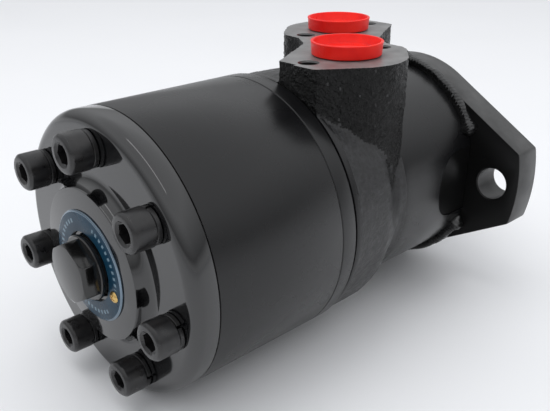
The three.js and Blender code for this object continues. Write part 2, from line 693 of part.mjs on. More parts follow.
function coverScrew(x0) {
  const face = x0 - SCREW_HEAD_H;
  const body = turnedSolid([
    [face, 0],
    [face, SCREW_HEAD_R - 0.7],
    [face + 0.7, SCREW_HEAD_R],
    [x0, SCREW_HEAD_R],
    [x0, SCREW_SHANK_R],
    [SCREW_TIP_X - 1, SCREW_SHANK_R],
    [SCREW_TIP_X, SCREW_SHANK_R - 1],
    [SCREW_TIP_X, 0],
  ], COARSE);
  const socketR = SOCKET_ACROSS_FLATS / 2 / Math.cos(Math.PI / 6);
  const socket = solidOf(extrudedX(hexagon(socketR, 0), face - 1, face + SOCKET_DEPTH, 1));
  return body.subtract(socket);
}

// ---- port caps ----------------------------------------------------------------------------------
function portCap() {
  const lip = PAD_Z + 0.3;
  const top = PAD_Z + CAP_HEIGHT;
  const stem = PAD_Z - CAP_DEPTH;
  const floor = stem + CAP_WALL;
  const points = [
    [0, stem],
    [CAP_STEM_R - 0.5, stem],
    [CAP_STEM_R, PAD_Z],
    [CAP_STEM_R, lip],
    [CAP_FLANGE_R, lip],
    [CAP_RIM_R, top - 0.3],
    [CAP_RIM_R - 0.3, top],
    [CAP_RIM_R - 1.1, top - 0.2],
    [CAP_RIM_R - CAP_WALL, lip + CAP_WALL],
    [CAP_STEM_R - CAP_WALL + 0.2, lip + 0.8],
    [CAP_STEM_R - CAP_WALL, floor],
    [0, floor],
  ];
  const profile = points.map(([r, z]) => new THREE.Vector2(r, z));
  return new THREE.LatheGeometry(profile, MEDIUM).rotateX(Math.PI / 2);
}

// ---- assembly: fixed parts ----------------------------------------------------------------------
addTo(motor, 'housing', geometryOf(housing()), blackPaint);
addTo(motor, 'mounting_flange', geometryOf(mountingFlange()), blackPaint);
addTo(motor, 'weld_upper_near', geometryOf(weldRun(88, 156)), blackPaint);
addTo(motor, 'weld_upper_far', geometryOf(weldRun(24, 38)), blackPaint);
addTo(motor, 'weld_lower', geometryOf(weldRun(204, 336)), blackPaint);
addTo(motor, 'distributor_plate', geometryOf(distributorPlate()), blackPaint);
addTo(motor, 'stator_ring', geometryOf(statorRing()), blackPaint);
addTo(motor, 'end_cover', geometryOf(endCover()), blackPaint);

const caps = [['port_cap_front', FRONT_PORT], ['port_cap_rear', REAR_PORT]];
for (const [name, port] of caps) {
  addTo(motor, name, portCap(), redPlastic).position.set(port.x, port.y, 0);
}

addTo(motor, 'drain_plug', geometryOf(drainPlug()), blackOxide);
const plugWasher = ring(PLUG_WASHER_X[0], PLUG_WASHER_X[1], PLUG_HOLE_R + 0.2, PLUG_WASHER_R, MEDIUM);
addTo(motor, 'plug_washer', plugWasher, darkSteel);
const nameRingBack = HUB_FACE_X - 0.1;
addTo(motor, 'name_ring', geometryOf(
  solidOf(ring(nameRingBack - RING_T, nameRingBack, RING_INNER_R, RING_OUTER_R, FINE))
    .subtract(rodAt(nameRingBack - 3, nameRingBack + 1, 1.4, PIN_CIRCLE_R, PIN_ANGLE, 16)),
), bluePaint);
const pin = turned([
  [-1.2, 0], [-1.2, 1], [-0.9, PIN_HEAD_R - 0.2], [-0.1, PIN_HEAD_R], [-0.1, PIN_SHANK_R],
  [PIN_DEPTH, PIN_SHANK_R], [PIN_DEPTH, 0],
], 16);
addTo(motor, 'name_ring_pin', pin, brass).position.set(
  nameRingBack - RING_T,
  PIN_CIRCLE_R * Math.cos(PIN_ANGLE),
  PIN_CIRCLE_R * Math.sin(PIN_ANGLE),
);

const washerBack = COVER_FACE_X - 0.1;
const washerFront = washerBack - WASHER_T;
const screwGeometry = geometryOf(coverScrew(washerFront - 0.1));
const washerGeometry = turned([
  [washerFront, SCREW_SHANK_R + 0.35], [washerFront, SCREW_HEAD_R - 0.2],
  [washerBack, SCREW_HEAD_R - 0.2], [washerBack, SCREW_SHANK_R + 0.35],
], COARSE);
for (let i = 0; i < SCREWS; i += 1) {
  const y = SCREW_CIRCLE_R * Math.cos(screwAngle(i));
  const z = SCREW_CIRCLE_R * Math.sin(screwAngle(i));
  addTo(motor, `cover_screw_${i + 1}`, screwGeometry, blackOxide).position.set(0, y, z);
  addTo(motor, `spring_washer_${i + 1}`, washerGeometry, blackOxide).position.set(0, y, z);
}

function oring(x) {
  const torus = new THREE.TorusGeometry(ORING_R, ORING_SECTION_R, 5, 28);
  return torus.rotateY(Math.PI / 2).translate(x, 0, 0);
}
addTo(motor, 'oring_cover', oring(COVER_JOINT_X - 0.9), rubber);
addTo(motor, 'oring_plate', oring(PLATE_JOINT_X + 0.75), rubber);
addTo(motor, 'oring_housing', oring(HOUSING_JOINT_X + 0.9), rubber);

function bearingRing(span, inner, outer) {
  return ring(span[0], span[1], inner, outer, MEDIUM);
}
const frontWasher = bearingRing(THRUST_WASHER_FRONT_X, JOURNAL_R + 0.5, SPOOL_R);
addTo(motor, 'thrust_washer_front', frontWasher, steel);
addTo(motor, 'needle_bearing_cup', bearingRing(NEEDLE_CUP_X, NEEDLE_CUP_BORE_R, POCKET_FIT_R), steel);
addTo(motor, 'shaft_seal', turned([
  [SHAFT_SEAL_X[0] + 0.3, JOURNAL_R + 0.35],
  [SHAFT_SEAL_X[0] + 0.3, JOURNAL_R + 2],
  [SHAFT_SEAL_X[0], JOURNAL_R + 3],
  [SHAFT_SEAL_X[0], POCKET_FIT_R],
  [SHAFT_SEAL_X[1], POCKET_FIT_R],
  [SHAFT_SEAL_X[1], JOURNAL_R + 1.2],
], MEDIUM), rubber);
const snapRing = bearingRing(RETAINING_RING_X, RETAINING_RING_BORE_R, POCKET_FIT_R);
addTo(motor, 'retaining_ring', snapRing, steel);
addTo(motor, 'dust_seal', turned([
  [DUST_SEAL_X[0], JOURNAL_R + 0.9],
  [DUST_SEAL_X[0], POCKET_FIT_R],
  [DUST_SEAL_X[1] - 0.2, POCKET_FIT_R],
  [DUST_SEAL_X[1], JOURNAL_R + 2],
  [DUST_SEAL_X[1], JOURNAL_R + 0.35],
], MEDIUM), rubber);

// ---- assembly: moving parts ---------------------------------------------------------------------
addTo(motor, 'output_shaft', geometryOf(outputShaft()), steel);
addTo(motor, 'shaft_key', shaftKey(), steel);
const rearWasher = bearingRing(THRUST_WASHER_REAR_X, JOURNAL_R + 0.3, SPOOL_R);
addTo(motor, 'thrust_washer_rear', rearWasher, steel);
const thrustCage = bearingRing(THRUST_CAGE_X, JOURNAL_R + 0.4, SPOOL_R - 0.1);
addTo(motor, 'thrust_bearing_cage', thrustCage, bearingCage);
const needleCage = bearingRing(NEEDLE_CAGE_X, JOURNAL_R + 0.3, NEEDLE_CUP_BORE_R - GAP);
addTo(motor, 'needle_bearing_cage', needleCage, bearingCage);

for (let i = 0; i < ROLLERS; i += 1) {
  const y = ROLLER_CIRCLE_R * Math.cos(rollerAngle(i));
  const z = ROLLER_CIRCLE_R * Math.sin(rollerAngle(i));
  addTo(motor, `roller_${i + 1}`, roller(), steel).position.set(0, y, z);
}

// the rotor's centre is one eccentricity from the shaft axis, towards the first roller
const rotorGroup = new THREE.Group();
rotorGroup.position.set(0, ECCENTRICITY * Math.cos(ROLLER_PHASE), ECCENTRICITY * Math.sin(ROLLER_PHASE));
rotorGroup.rotation.x = ROLLER_PHASE;
motor.add(rotorGroup);
addTo(rotorGroup, 'rotor', geometryOf(rotor()), steel);
const spacerX0 = COVER_JOINT_X + 2 * GAP;
const spacerX1 = ROTOR_SPLINE_X - LINK_HEAD_L / 2 - LINK_OVERRUN - 1;
addTo(rotorGroup, 'drive_spacer', turned([
  [spacerX0, 0],
  [spacerX0, SPACER_R - 1],
  [spacerX0 + 1, SPACER_R],
  [spacerX1 - 1, SPACER_R],
  [spacerX1, SPACER_R - 1],
  [spacerX1, 0],
], MEDIUM), steel);

// the link leans from the rotor's centre to the shaft's axis
const linkGroup = new THREE.Group();
linkGroup.rotation.x = ROLLER_PHASE;
motor.add(linkGroup);
const link = addTo(linkGroup, 'drive_link', geometryOf(driveLink()), steel);
link.position.set((ROTOR_SPLINE_X + SHAFT_SPLINE_X) / 2, ECCENTRICITY / 2, 0);
link.rotation.z = -LINK_TILT;

export default motor;
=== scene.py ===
# A hydraulic motor's finished look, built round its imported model.
# Lengths in this script are millimetres until a mesh is made, which is in metres.
import math

import bmesh
import bpy
from mathutils import Matrix, Vector, noise


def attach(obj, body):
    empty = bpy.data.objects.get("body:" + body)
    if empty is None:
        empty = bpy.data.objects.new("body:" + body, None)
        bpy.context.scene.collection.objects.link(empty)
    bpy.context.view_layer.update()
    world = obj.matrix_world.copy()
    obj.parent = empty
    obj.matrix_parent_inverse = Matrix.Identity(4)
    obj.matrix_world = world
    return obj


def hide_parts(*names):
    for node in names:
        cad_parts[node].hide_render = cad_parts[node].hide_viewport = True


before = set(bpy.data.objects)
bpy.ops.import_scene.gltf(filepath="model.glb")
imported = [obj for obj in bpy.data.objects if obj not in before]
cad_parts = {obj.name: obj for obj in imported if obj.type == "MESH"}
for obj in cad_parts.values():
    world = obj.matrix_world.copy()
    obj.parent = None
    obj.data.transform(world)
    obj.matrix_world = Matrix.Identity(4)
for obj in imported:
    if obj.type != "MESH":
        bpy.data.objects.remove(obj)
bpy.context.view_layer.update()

MM = 0.001
BODY = "motor_body"
SHAFT = "output_shaft"

# stack along the shaft, mounting face at x = 0
BODY_R = 51.0
JOINT_GAP = 0.15
HOUSING_X = -99.3
PLATE_X = -106.2
COVER_X = -162.0
COVER_FACE_X = -171.7
HUB_FACE_X = -176.8
HUB_R = 27.4
COVER_EDGE_R = 4.6
NECK_R = 44.0
CAST_R = 50.0
NOSE_R = 31.0
NOSE_X = 5.4
FLANGE_T = 14.0
FLANGE_CENTRE_R = 45.3
FLANGE_TIP_R = 65.5
LUG_HOLE_Y = 53.2
LUG_HOLE_R = 6.75
PILOT_R = 41.25
PILOT_H = 6.0
PAD_Z = 57.2
PORTS = {"front": (-72.5, -19.0), "rear": (-35.0, 19.0)}
PAD_SCREW_SPACING = 40.0
PAD_SCREW_R = 3.4
SCREWS = 7
SCREW_CIRCLE_R = 40.3
SCREW_PHASE = math.radians(40)
SCREW_HEAD_R = 6.5
SCREW_HOLE_R = 4.3
ROLLER_CIRCLE_R = 27.0
ROLLER_PHASE = SCREW_PHASE + math.pi / SCREWS
PIN_CIRCLE_R = 16.0
PIN_ANGLE = math.radians(200)
KEY_START_X = 9.5
KEY_L = 32.0
KEY_W = 8.0
KEY_H = 7.0
KEY_TOP_Z = 15.5
SHAFT_R = 12.5
SHAFT_END_X = 43
SPOOL_R = 18
SPOOL_GROOVE_R = 15.6
SPOOL_BORE_R = 18.35
PLATE_BORE_R = 13
RING_BORE_R = 26.4
POCKET_R = 6.45
PLUG_FACE_X = -185.5
PLUG_CORNER_R = 11.3
RELIEF_Y = 41.0
RELIEF_END_X = -39
BEAD_R = 45.5
PAINTED_R = 49

# the studio: world brightness by height, from the horizon up, and the lights
# (name, place in m, what it points at, width and depth in m, watts)
WORLD_RAMP = ((0.0, 0.8), (0.05, 0.75), (0.14, 0.36), (0.6, 0.98))
WORLD_STRENGTH = 0.95
LIGHTS = (
    ("top_light", (-0.25, 0.25, 1.0), (-0.08, 0, 0), (0.9, 0.9), 3.6),
    ("front_light", (0.5, -0.55, 0.75), (-0.05, 0, 0), (0.7, 0.7), 1.4),
    ("edge_light", (-0.3, -0.2, 1.2), (-0.3, -0.2, 0), (0.1, 1.1), 0.7),
)
FLOOR_SIZE = 6.0

# the camera: focal length in pixels, place in mm, and world-to-camera turn as axis times angle
IMAGE_W = 550.0
FOCAL = 693.27
CAMERA_PLACE = (-272.963, -192.978, 110.602)
CAMERA_TURN = (1.969583, -0.783190, 0.448704)
CAMERA_SHIFT = (0.0048, 0.14)


# ---- meshes ---------------------------------------------------------------------------------------
def new_object(name, bm, angle=32):
    mesh = bpy.data.meshes.new(name)
    bmesh.ops.recalc_face_normals(bm, faces=bm.faces)
    bm.to_mesh(mesh)
    bm.free()
    obj = bpy.data.objects.new(name, mesh)
    bpy.context.scene.collection.objects.link(obj)
    smooth(obj, angle)
    return obj


def smooth(obj, angle=32):
    obj.data.shade_smooth()
    obj.data.set_sharp_from_angle(angle=math.radians(angle))


def lathe(name, profile, segments=128, angle=32, place=(0, 0, 0)):
    """Turns (x, r) pairs in mm about the X axis. A profile off the axis is closed into a ring."""
    bm = bmesh.new()
    on_axis = profile[0][1] == 0 and profile[-1][1] == 0
    rings = []
    for x, r in profile:
        if r == 0:
            rings.append([bm.verts.new(Vector((x + place[0], place[1], place[2])) * MM)])
            continue
        ring = []
        for i in range(segments):
            a = 2 * math.pi * i / segments
            spot = Vector((x, r * math.cos(a), r * math.sin(a))) + Vector(place)
            ring.append(bm.verts.new(spot * MM))
        rings.append(ring)
    pairs = list(zip(rings, rings[1:]))
    if not on_axis:
        pairs.append((rings[-1], rings[0]))
    for low, high in pairs:
        for i in range(segments):
            j = (i + 1) % segments
            corners = [low[i % len(low)], low[j % len(low)], high[j % len(high)], high[i % len(high)]]
            unique = list(dict.fromkeys(corners))
            if len(unique) > 2:
                bm.faces.new(unique)
    return new_object(name, bm, angle)


def upright(name, profile, x, y, segments=64, angle=32):
    """Turns (z, r) pairs about an upright axis through (x, y)."""
    obj = lathe(name, profile, segments, angle)
    turn = Matrix.Translation(Vector((x, y, 0)) * MM) @ Matrix.Rotation(math.radians(-90), 4, "Y")
    obj.data.transform(turn)
    return obj


def loft(name, rings, angle=32):
    """Skins closed rings of mm points, with flat ends."""
    bm = bmesh.new()
    loops = [[bm.verts.new(Vector(p) * MM) for p in ring] for ring in rings]
    for low, high in zip(loops, loops[1:]):
        for i in range(len(low)):
            j = (i + 1) % len(low)
            bm.faces.new((low[i], low[j], high[j], high[i]))
    bm.faces.new(loops[0])
    bm.faces.new(loops[-1])
    return new_object(name, bm, angle)


def block(name, low, high):
    xs, ys, zs = zip(low, high)
    corners = [(xs[i], ys[j], zs[k]) for k in (0, 1) for i, j in ((0, 0), (1, 0), (1, 1), (0, 1))]
    return loft(name, [corners[:4], corners[4:]])


def rounded(points, radius, steps=5):
    """Rounds every corner of a closed 2-D outline that turns by more than 15 degrees."""
    result = []
    for i, here in enumerate(points):
        before = Vector(points[i - 1]) - Vector(here)
        after = Vector(points[(i + 1) % len(points)]) - Vector(here)
        turn = math.pi - before.angle(after)
        if turn < math.radians(15):
            result.append(tuple(here))
            continue
        reach = min(radius * math.tan(turn / 2), before.length * 0.45, after.length * 0.45)
        start = Vector(here) + before.normalized() * reach
        end = Vector(here) + after.normalized() * reach
        for k in range(steps + 1):
            t = k / steps
            spot = start * (1 - t) ** 2 + Vector(here) * 2 * t * (1 - t) + end * t * t
            result.append((spot.x, spot.y))
    return result


def bake(obj):
    """Replaces the mesh with what its modifiers make of it."""
    depsgraph = bpy.context.evaluated_depsgraph_get()
    mesh = bpy.data.meshes.new_from_object(obj.evaluated_get(depsgraph))
    obj.modifiers.clear()
    obj.data = mesh
    return obj


def combine(obj, others, operation="DIFFERENCE"):
    """Cuts or joins other solids with obj, then deletes them."""
    for other in others:
        step = obj.modifiers.new("boolean", "BOOLEAN")
        step.operation = operation
        step.solver = "MANIFOLD"
        step.object = other
    bake(obj)
    for other in others:
        bpy.data.objects.remove(other)
    return obj


def finish_piece(obj, body, slot, *nodes, angle=32):
    smooth(obj, angle)
    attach(obj, body)
    if nodes:
        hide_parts(*nodes)
    return obj


def screw_angle(i):
    return SCREW_PHASE + 2 * math.pi * i / SCREWS


def polar(radius, angle):
    return radius * math.cos(angle), radius * math.sin(angle)


def screw_holes(x0, x1):
    cutters = []
    for i in range(SCREWS):
        y, z = polar(SCREW_CIRCLE_R, screw_angle(i))
        profile = [(x0, 0), (x0, SCREW_HOLE_R), (x1, SCREW_HOLE_R), (x1, 0)]
        cutters.append(lathe(f"screw_hole_{i}", profile, 32, place=(0, y, z)))
    return cutters


# ---- materials ------------------------------------------------------------------------------------
def shader(name, color, roughness, metallic=0.0, ior=1.5, specular=0.5):
    mat = bpy.data.materials.new(name)
    mat.use_nodes = True
    bsdf = mat.node_tree.nodes["Principled BSDF"]
    bsdf.inputs["Base Color"].default_value = (*color, 1)
    bsdf.inputs["Roughness"].default_value = roughness
    bsdf.inputs["Metallic"].default_value = metallic
    bsdf.inputs["IOR"].default_value = ior
    bsdf.inputs["Specular IOR Level"].default_value = specular
    return mat


def nodes_of(mat):
    tree = mat.node_tree
    return tree.nodes, tree.links, tree.nodes["Principled BSDF"]


def object_noise(mat, scale, detail=4.0, stretch=(1, 1, 1), rough=0.55):
    """A noise texture in object space. scale is in features per metre."""
    nodes, links, _ = nodes_of(mat)
    coords = nodes.new("ShaderNodeTexCoord")
    mapping = nodes.new("ShaderNodeMapping")
    mapping.inputs["Scale"].default_value = stretch
    texture = nodes.new("ShaderNodeTexNoise")
    texture.inputs["Scale"].default_value = scale
    texture.inputs["Detail"].default_value = detail
    texture.inputs["Roughness"].default_value = rough
    links.new(coords.outputs["Object"], mapping.inputs["Vector"])
    links.new(mapping.outputs["Vector"], texture.inputs["Vector"])
    return texture


def vary_roughness(mat, texture, low, high):
    nodes, links, bsdf = nodes_of(mat)
    spread = nodes.new("ShaderNodeMapRange")
    spread.inputs["From Min"].default_value = 0.3
    spread.inputs["From Max"].default_value = 0.7
    spread.inputs["To Min"].default_value = low
    spread.inputs["To Max"].default_value = high
    links.new(texture.outputs["Fac"], spread.inputs["Value"])
    links.new(spread.outputs["Result"], bsdf.inputs["Roughness"])


def vary_color(mat, texture, dark, light, low=0.35, high=0.65):
    nodes, links, bsdf = nodes_of(mat)
    ramp = nodes.new("ShaderNodeValToRGB")
    ramp.color_ramp.elements[0].position = low
    ramp.color_ramp.elements[0].color = (*dark, 1)
    ramp.color_ramp.elements[1].position = high
    ramp.color_ramp.elements[1].color = (*light, 1)
    links.new(texture.outputs["Fac"], ramp.inputs["Fac"])
    links.new(ramp.outputs["Color"], bsdf.inputs["Base Color"])
    return ramp


def bump(mat, texture, strength, depth, output="Fac"):
    """Adds a bump. depth is in millimetres."""
    nodes, links, bsdf = nodes_of(mat)
    node = nodes.new("ShaderNodeBump")
    node.inputs["Strength"].default_value = strength
    node.inputs["Distance"].default_value = depth * MM
    links.new(texture.outputs[output], node.inputs["Height"])
    earlier = bsdf.inputs["Normal"].links
    if earlier:
        links.new(earlier[0].from_socket, node.inputs["Normal"])
    links.new(node.outputs["Normal"], bsdf.inputs["Normal"])


def gloss_black(name, low, high, specular=0.5):
    mat = shader(name, (0.004, 0.004, 0.0045), low, specular=specular)
    vary_roughness(mat, object_noise(mat, 45, 3), low, high)
    bump(mat, object_noise(mat, 900, 2), 0.06, 0.02)
    bump(mat, object_noise(mat, 60, 2), 0.05, 0.06)
    return mat


def cast_rough():
    """Sand-cast walls: coarse pitted lumps under satin paint."""
    mat = shader("cast_rough", (0.003, 0.003, 0.003), 0.3, specular=0.26)
    vary_roughness(mat, object_noise(mat, 300, 5), 0.16, 0.42)
    vary_color(mat, object_noise(mat, 500, 5), (0.001, 0.001, 0.001), (0.006, 0.006, 0.006))
    bump(mat, object_noise(mat, 620, 3, rough=0.6), 1.0, 1.5)
    bump(mat, object_noise(mat, 1500, 4), 0.7, 0.5)
    return mat


def cast_fine():
    """The round cast body: a fine, even grain."""
    mat = shader("cast_fine", (0.01, 0.01, 0.011), 0.35, specular=0.6)
    vary_roughness(mat, object_noise(mat, 400, 5), 0.3, 0.5)
    vary_color(mat, object_noise(mat, 700, 5), (0.004, 0.004, 0.004), (0.018, 0.018, 0.02))
    bump(mat, object_noise(mat, 900, 4, rough=0.6), 0.7, 0.4)
    bump(mat, object_noise(mat, 2200, 3), 0.4, 0.15)
    return mat


def milled_black():
    mat = shader("milled_black", (0.003, 0.003, 0.003), 0.3, specular=0.22)
    vary_roughness(mat, object_noise(mat, 60, 4), 0.28, 0.42)
    bump(mat, object_noise(mat, 500, 3, stretch=(0.15, 1, 1)), 0.12, 0.05)
    return mat


def plug_black():
    mat = shader("plug_black", (0.004, 0.004, 0.004), 0.12, specular=0.7)
    vary_roughness(mat, object_noise(mat, 90, 4), 0.1, 0.2)
    bump(mat, object_noise(mat, 260, 3), 0.06, 0.05)
    return mat


def weld_black():
    mat = shader("weld_black", (0.004, 0.004, 0.004), 0.16, specular=0.7)
    vary_roughness(mat, object_noise(mat, 300, 4), 0.12, 0.32)
    bump(mat, object_noise(mat, 420, 3, rough=0.5), 0.45, 0.35)
    return mat


# Black paint with its base colour raised to grey: a painted reflection standing in for the pale sheen these
# flat faces take from their surroundings.
def painted_sheen_grey(name="painted_sheen_grey", grey=0.15, specular=0.7):
    mat = shader(name, (grey, grey, grey), 0.3, specular=specular)
    vary_roughness(mat, object_noise(mat, 90, 4), 0.3, 0.45)
    vary_color(mat, object_noise(mat, 120, 5), (grey * 0.8,) * 3, (grey * 1.35,) * 3)
    bump(mat, object_noise(mat, 500, 3, stretch=(1, 0.2, 1)), 0.15, 0.05)
    return mat


def oxide_black():
    mat = shader("oxide_black", (0.008, 0.008, 0.0085), 0.3, specular=0.6)
    vary_roughness(mat, object_noise(mat, 350, 4), 0.24, 0.4)
    vary_color(mat, object_noise(mat, 240, 4), (0.005, 0.005, 0.006), (0.013, 0.012, 0.012))
    bump(mat, object_noise(mat, 2600, 3), 0.18, 0.04)
    return mat


def steel(name, color=(0.6, 0.6, 0.61), low=0.16, high=0.34, stretch=(30, 1, 1)):
    """Turned steel: fine tool marks round the shaft's axis."""
    mat = shader(name, color, low, metallic=1.0)
    vary_roughness(mat, object_noise(mat, 120, 4), low, high)
    dark = tuple(c * 0.82 for c in color)
    vary_color(mat, object_noise(mat, 80, 4), dark, color)
    bump(mat, object_noise(mat, 160, 3, stretch=stretch), 0.12, 0.03)
    return mat


def red_plastic():
    mat = shader("red_plastic", (0.9, 0.014, 0.01), 0.35, specular=0.3)
    _, _, bsdf = nodes_of(mat)
    bsdf.inputs["Subsurface Weight"].default_value = 0.35
    bsdf.inputs["Subsurface Radius"].default_value = (1.0, 0.18, 0.12)
    bsdf.inputs["Subsurface Scale"].default_value = 1.6 * MM
    vary_roughness(mat, object_noise(mat, 130, 4), 0.26, 0.42)
    vary_color(mat, object_noise(mat, 70, 3), (0.8, 0.01, 0.008), (0.95, 0.025, 0.014))
    bump(mat, object_noise(mat, 400, 3), 0.12, 0.06)
    return mat


def blue_enamel():
    """Blue face with a pale broken ring of plain dashes."""
    mat = shader("blue_enamel", (0.003, 0.04, 0.08), 0.3, specular=0.2)
    nodes, links, bsdf = nodes_of(mat)
    coords = nodes.new("ShaderNodeTexCoord")
    split = nodes.new("ShaderNodeSeparateXYZ")
    links.new(coords.outputs["Object"], split.inputs["Vector"])

    def math_node(operation, first, second=None, third=None):
        node = nodes.new("ShaderNodeMath")
        node.operation = operation
        for socket, value in zip(node.inputs, (first, second, third)):
            if value is None:
                continue
            if isinstance(value, (int, float)):
                socket.default_value = value
            else:
                links.new(value, socket)
        return node.outputs["Value"]

    angle = math_node("ARCTAN2", split.outputs["Z"], split.outputs["Y"])
    squares = math_node("MULTIPLY", split.outputs["Y"], split.outputs["Y"])
    squares = math_node("ADD", squares, math_node("MULTIPLY", split.outputs["Z"], split.outputs["Z"]))
    radius = math_node("SQRT", squares)
    band = math_node("COMPARE", radius, 16.4 * MM, 0.7 * MM)
    dashes = 46
    wave = math_node("SINE", math_node("MULTIPLY", angle, dashes))
    dash = math_node("GREATER_THAN", wave, 0.1)
    blocks = math_node("GREATER_THAN", math_node("SINE", math_node("MULTIPLY", angle, 3)), -0.45)
    mask = math_node("MULTIPLY", math_node("MULTIPLY", band, dash), blocks)
    tint = object_noise(mat, 200, 4)
    ramp = vary_color(mat, tint, (0.002, 0.026, 0.054), (0.004, 0.038, 0.072))
    mix = nodes.new("ShaderNodeMix")
    mix.data_type = "RGBA"
    links.new(mask, mix.inputs["Factor"])
    links.new(ramp.outputs["Color"], mix.inputs["A"])
    mix.inputs["B"].default_value = (0.16, 0.24, 0.3, 1)
    links.new(mix.outputs["Result"], bsdf.inputs["Base Color"])
    vary_roughness(mat, object_noise(mat, 150, 3), 0.24, 0.36)
    return mat


def rubber():
    mat = shader("rubber_black", (0.012, 0.012, 0.012), 0.6)
    vary_roughness(mat, object_noise(mat, 200, 4), 0.5, 0.7)
    bump(mat, object_noise(mat, 900, 4), 0.2, 0.05)
    return mat


MATERIALS = {
    "cover": gloss_black("cover_black", 0.05, 0.1, 0.95),
    "shell": gloss_black("shell_black", 0.24, 0.32),
    "neck": gloss_black("neck_black", 0.2, 0.3),
    "wall": cast_rough(),
    "cast": cast_fine(),
    "milled": milled_black(),
    "plug": plug_black(),
    # the port pad's top: its grey base colour is a painted reflection on black paint
    "pad": painted_sheen_grey(),
    "oxide": oxide_black(),
    "weld": weld_black(),
    # the flange rim: its grey base colour is a painted reflection on black paint
    "rim": painted_sheen_grey("rim_painted_sheen_grey", 0.05, 0.35),
    "steel": steel("turned_steel"),
    "bore": steel("bored_steel", (0.42, 0.41, 0.4), 0.25, 0.45),
    "bearing": steel("bearing_steel", (0.5, 0.5, 0.48)),
    "dark_steel": steel("dark_steel", (0.12, 0.12, 0.12), 0.3, 0.45),
    "rim_steel": steel("rim_steel", (0.2, 0.26, 0.32), 0.15, 0.3, (1, 1, 1)),
    "brass": steel("brass", (0.75, 0.52, 0.2), 0.18, 0.35, (1, 1, 1)),
    "red": red_plastic(),
    "blue": blue_enamel(),
    "rubber": rubber(),
}


def paint(obj, *names):
    obj.data.materials.clear()
    for name in names:
        obj.data.materials.append(MATERIALS[name])


def paint_faces(obj, names, choose):
    """Paints each face. choose(centre in mm, normal) returns a place in names."""
    paint(obj, *names)
    for face in obj.data.polygons:
        face.material_index = choose(face.center / MM, face.normal)


# ---- rotor section and cover ----------------------------------------------------------------------
def stator_ring():
    x0 = COVER_X + JOINT_GAP
    x1 = PLATE_X - JOINT_GAP
    edge = 0.25
    body = lathe("stator_ring_shell", [
        (x0, 0), (x0, BODY_R - edge), (x0 + edge * 0.3, BODY_R - edge * 0.3), (x0 + edge, BODY_R),
        (x1 - edge, BODY_R), (x1 - edge * 0.3, BODY_R - edge * 0.3), (x1, BODY_R - edge), (x1, 0),
    ], 256)
    cutters = screw_holes(x0 - 1, x1 + 1)
    cutters.append(rod("ring_bore", x0 - 1, x1 + 1, RING_BORE_R, 128))
    for i in range(SCREWS):
        y, z = polar(ROLLER_CIRCLE_R, ROLLER_PHASE + 2 * math.pi * i / SCREWS)
        pocket = [(x0 - 1, 0), (x0 - 1, POCKET_R), (x1 + 1, POCKET_R), (x1 + 1, 0)]
        cutters.append(lathe(f"pocket_{i}", pocket, 48, place=(0, y, z)))
    combine(body, cutters)
    paint_faces(body, ["shell", "bore"], lambda c, n: 0 if math.hypot(c.y, c.z) > PAINTED_R else 1)
    finish_piece(body, BODY, "black_paint", "stator_ring")


def distributor_plate():
    x0 = PLATE_X + JOINT_GAP
    x1 = HOUSING_X - JOINT_GAP
    body = lathe("distributor_plate_shell", [
        (x0, PLATE_BORE_R), (x0, BODY_R - 0.25), (x0 + 0.25, BODY_R), (x1 - 0.3, BODY_R),
        (x1 - 0.1, BODY_R - 0.1), (x1, BODY_R - 0.35), (x1, PLATE_BORE_R),
    ], 256)
    combine(body, screw_holes(x0 - 1, x1 + 1))
    paint_faces(body, ["shell", "bore"], lambda c, n: 0 if math.hypot(c.y, c.z) > PAINTED_R else 1)
    finish_piece(body, BODY, "black_paint", "distributor_plate")


def end_cover():
    x1 = COVER_X - JOINT_GAP
    profile = [(x1, 0), (x1, BODY_R - 0.25), (x1 - 0.1, BODY_R - 0.08), (x1 - 0.25, BODY_R)]
    steps = 14
    for i in range(steps + 1):
        a = math.pi / 2 * i / steps
        x = COVER_FACE_X + COVER_EDGE_R * (1 - math.sin(a))
        profile.append((x, BODY_R - COVER_EDGE_R * (1 - math.cos(a))))
    cove = 4.3
    for i in range(9):
        a = math.pi / 2 * i / 8
        profile.append((COVER_FACE_X - cove * (1 - math.cos(a)), HUB_R + cove * (1 - math.sin(a))))
    profile += [(HUB_FACE_X + 0.4, HUB_R - 0.08), (HUB_FACE_X + 0.1, HUB_R - 0.25), (HUB_FACE_X, HUB_R - 0.6)]
    profile += [(HUB_FACE_X, 0)]
    body = lathe("end_cover_shell", profile, 256, angle=40)
    cutters = []
    for i in range(SCREWS):
        y, z = polar(SCREW_CIRCLE_R, screw_angle(i))
        x0 = COVER_FACE_X - 1
        cutters.append(lathe(f"cover_hole_{i}", [
            (x0, 0), (x0, 4.6), (COVER_FACE_X, 4.6), (COVER_FACE_X + 0.3, 4.3), (x1 + 1, 4.3), (x1 + 1, 0),
        ], 48, place=(0, y, z)))
    cutters.append(lathe("plug_hole", [
        (HUB_FACE_X - 1, 0), (HUB_FACE_X - 1, 6.1), (x1 + 1, 6.1), (x1 + 1, 0),
    ], 64))
    y, z = polar(PIN_CIRCLE_R, PIN_ANGLE)
    cutters.append(lathe("pin_hole", [
        (HUB_FACE_X - 1, 0), (HUB_FACE_X - 1, 1.6), (HUB_FACE_X + 4, 1.6), (HUB_FACE_X + 4, 0),
    ], 24, place=(0, y, z)))
    combine(body, cutters)
    paint(body, "cover")
    finish_piece(body, BODY, "black_paint", "end_cover", angle=40)


def hexagon(x, circumradius, phase=0.0):
    ring = []
    for i in range(6):
        y, z = polar(circumradius, phase + math.pi / 3 * i)
        ring.append((x, y, z))
    return ring


def hex_socket(x_open, x_floor, across_flats):
    """Cutter for a hex socket with a lead-in chamfer and a drilled, conical floor."""
    r = across_flats / 2 / math.cos(math.pi / 6)
    return loft("hex_socket", [
        hexagon(x_open - 1, r + 1.1), hexagon(x_open, r + 0.25), hexagon(x_open + 0.3, r),
        hexagon(x_floor, r), hexagon(x_floor + 1.4, 0.2),
    ])


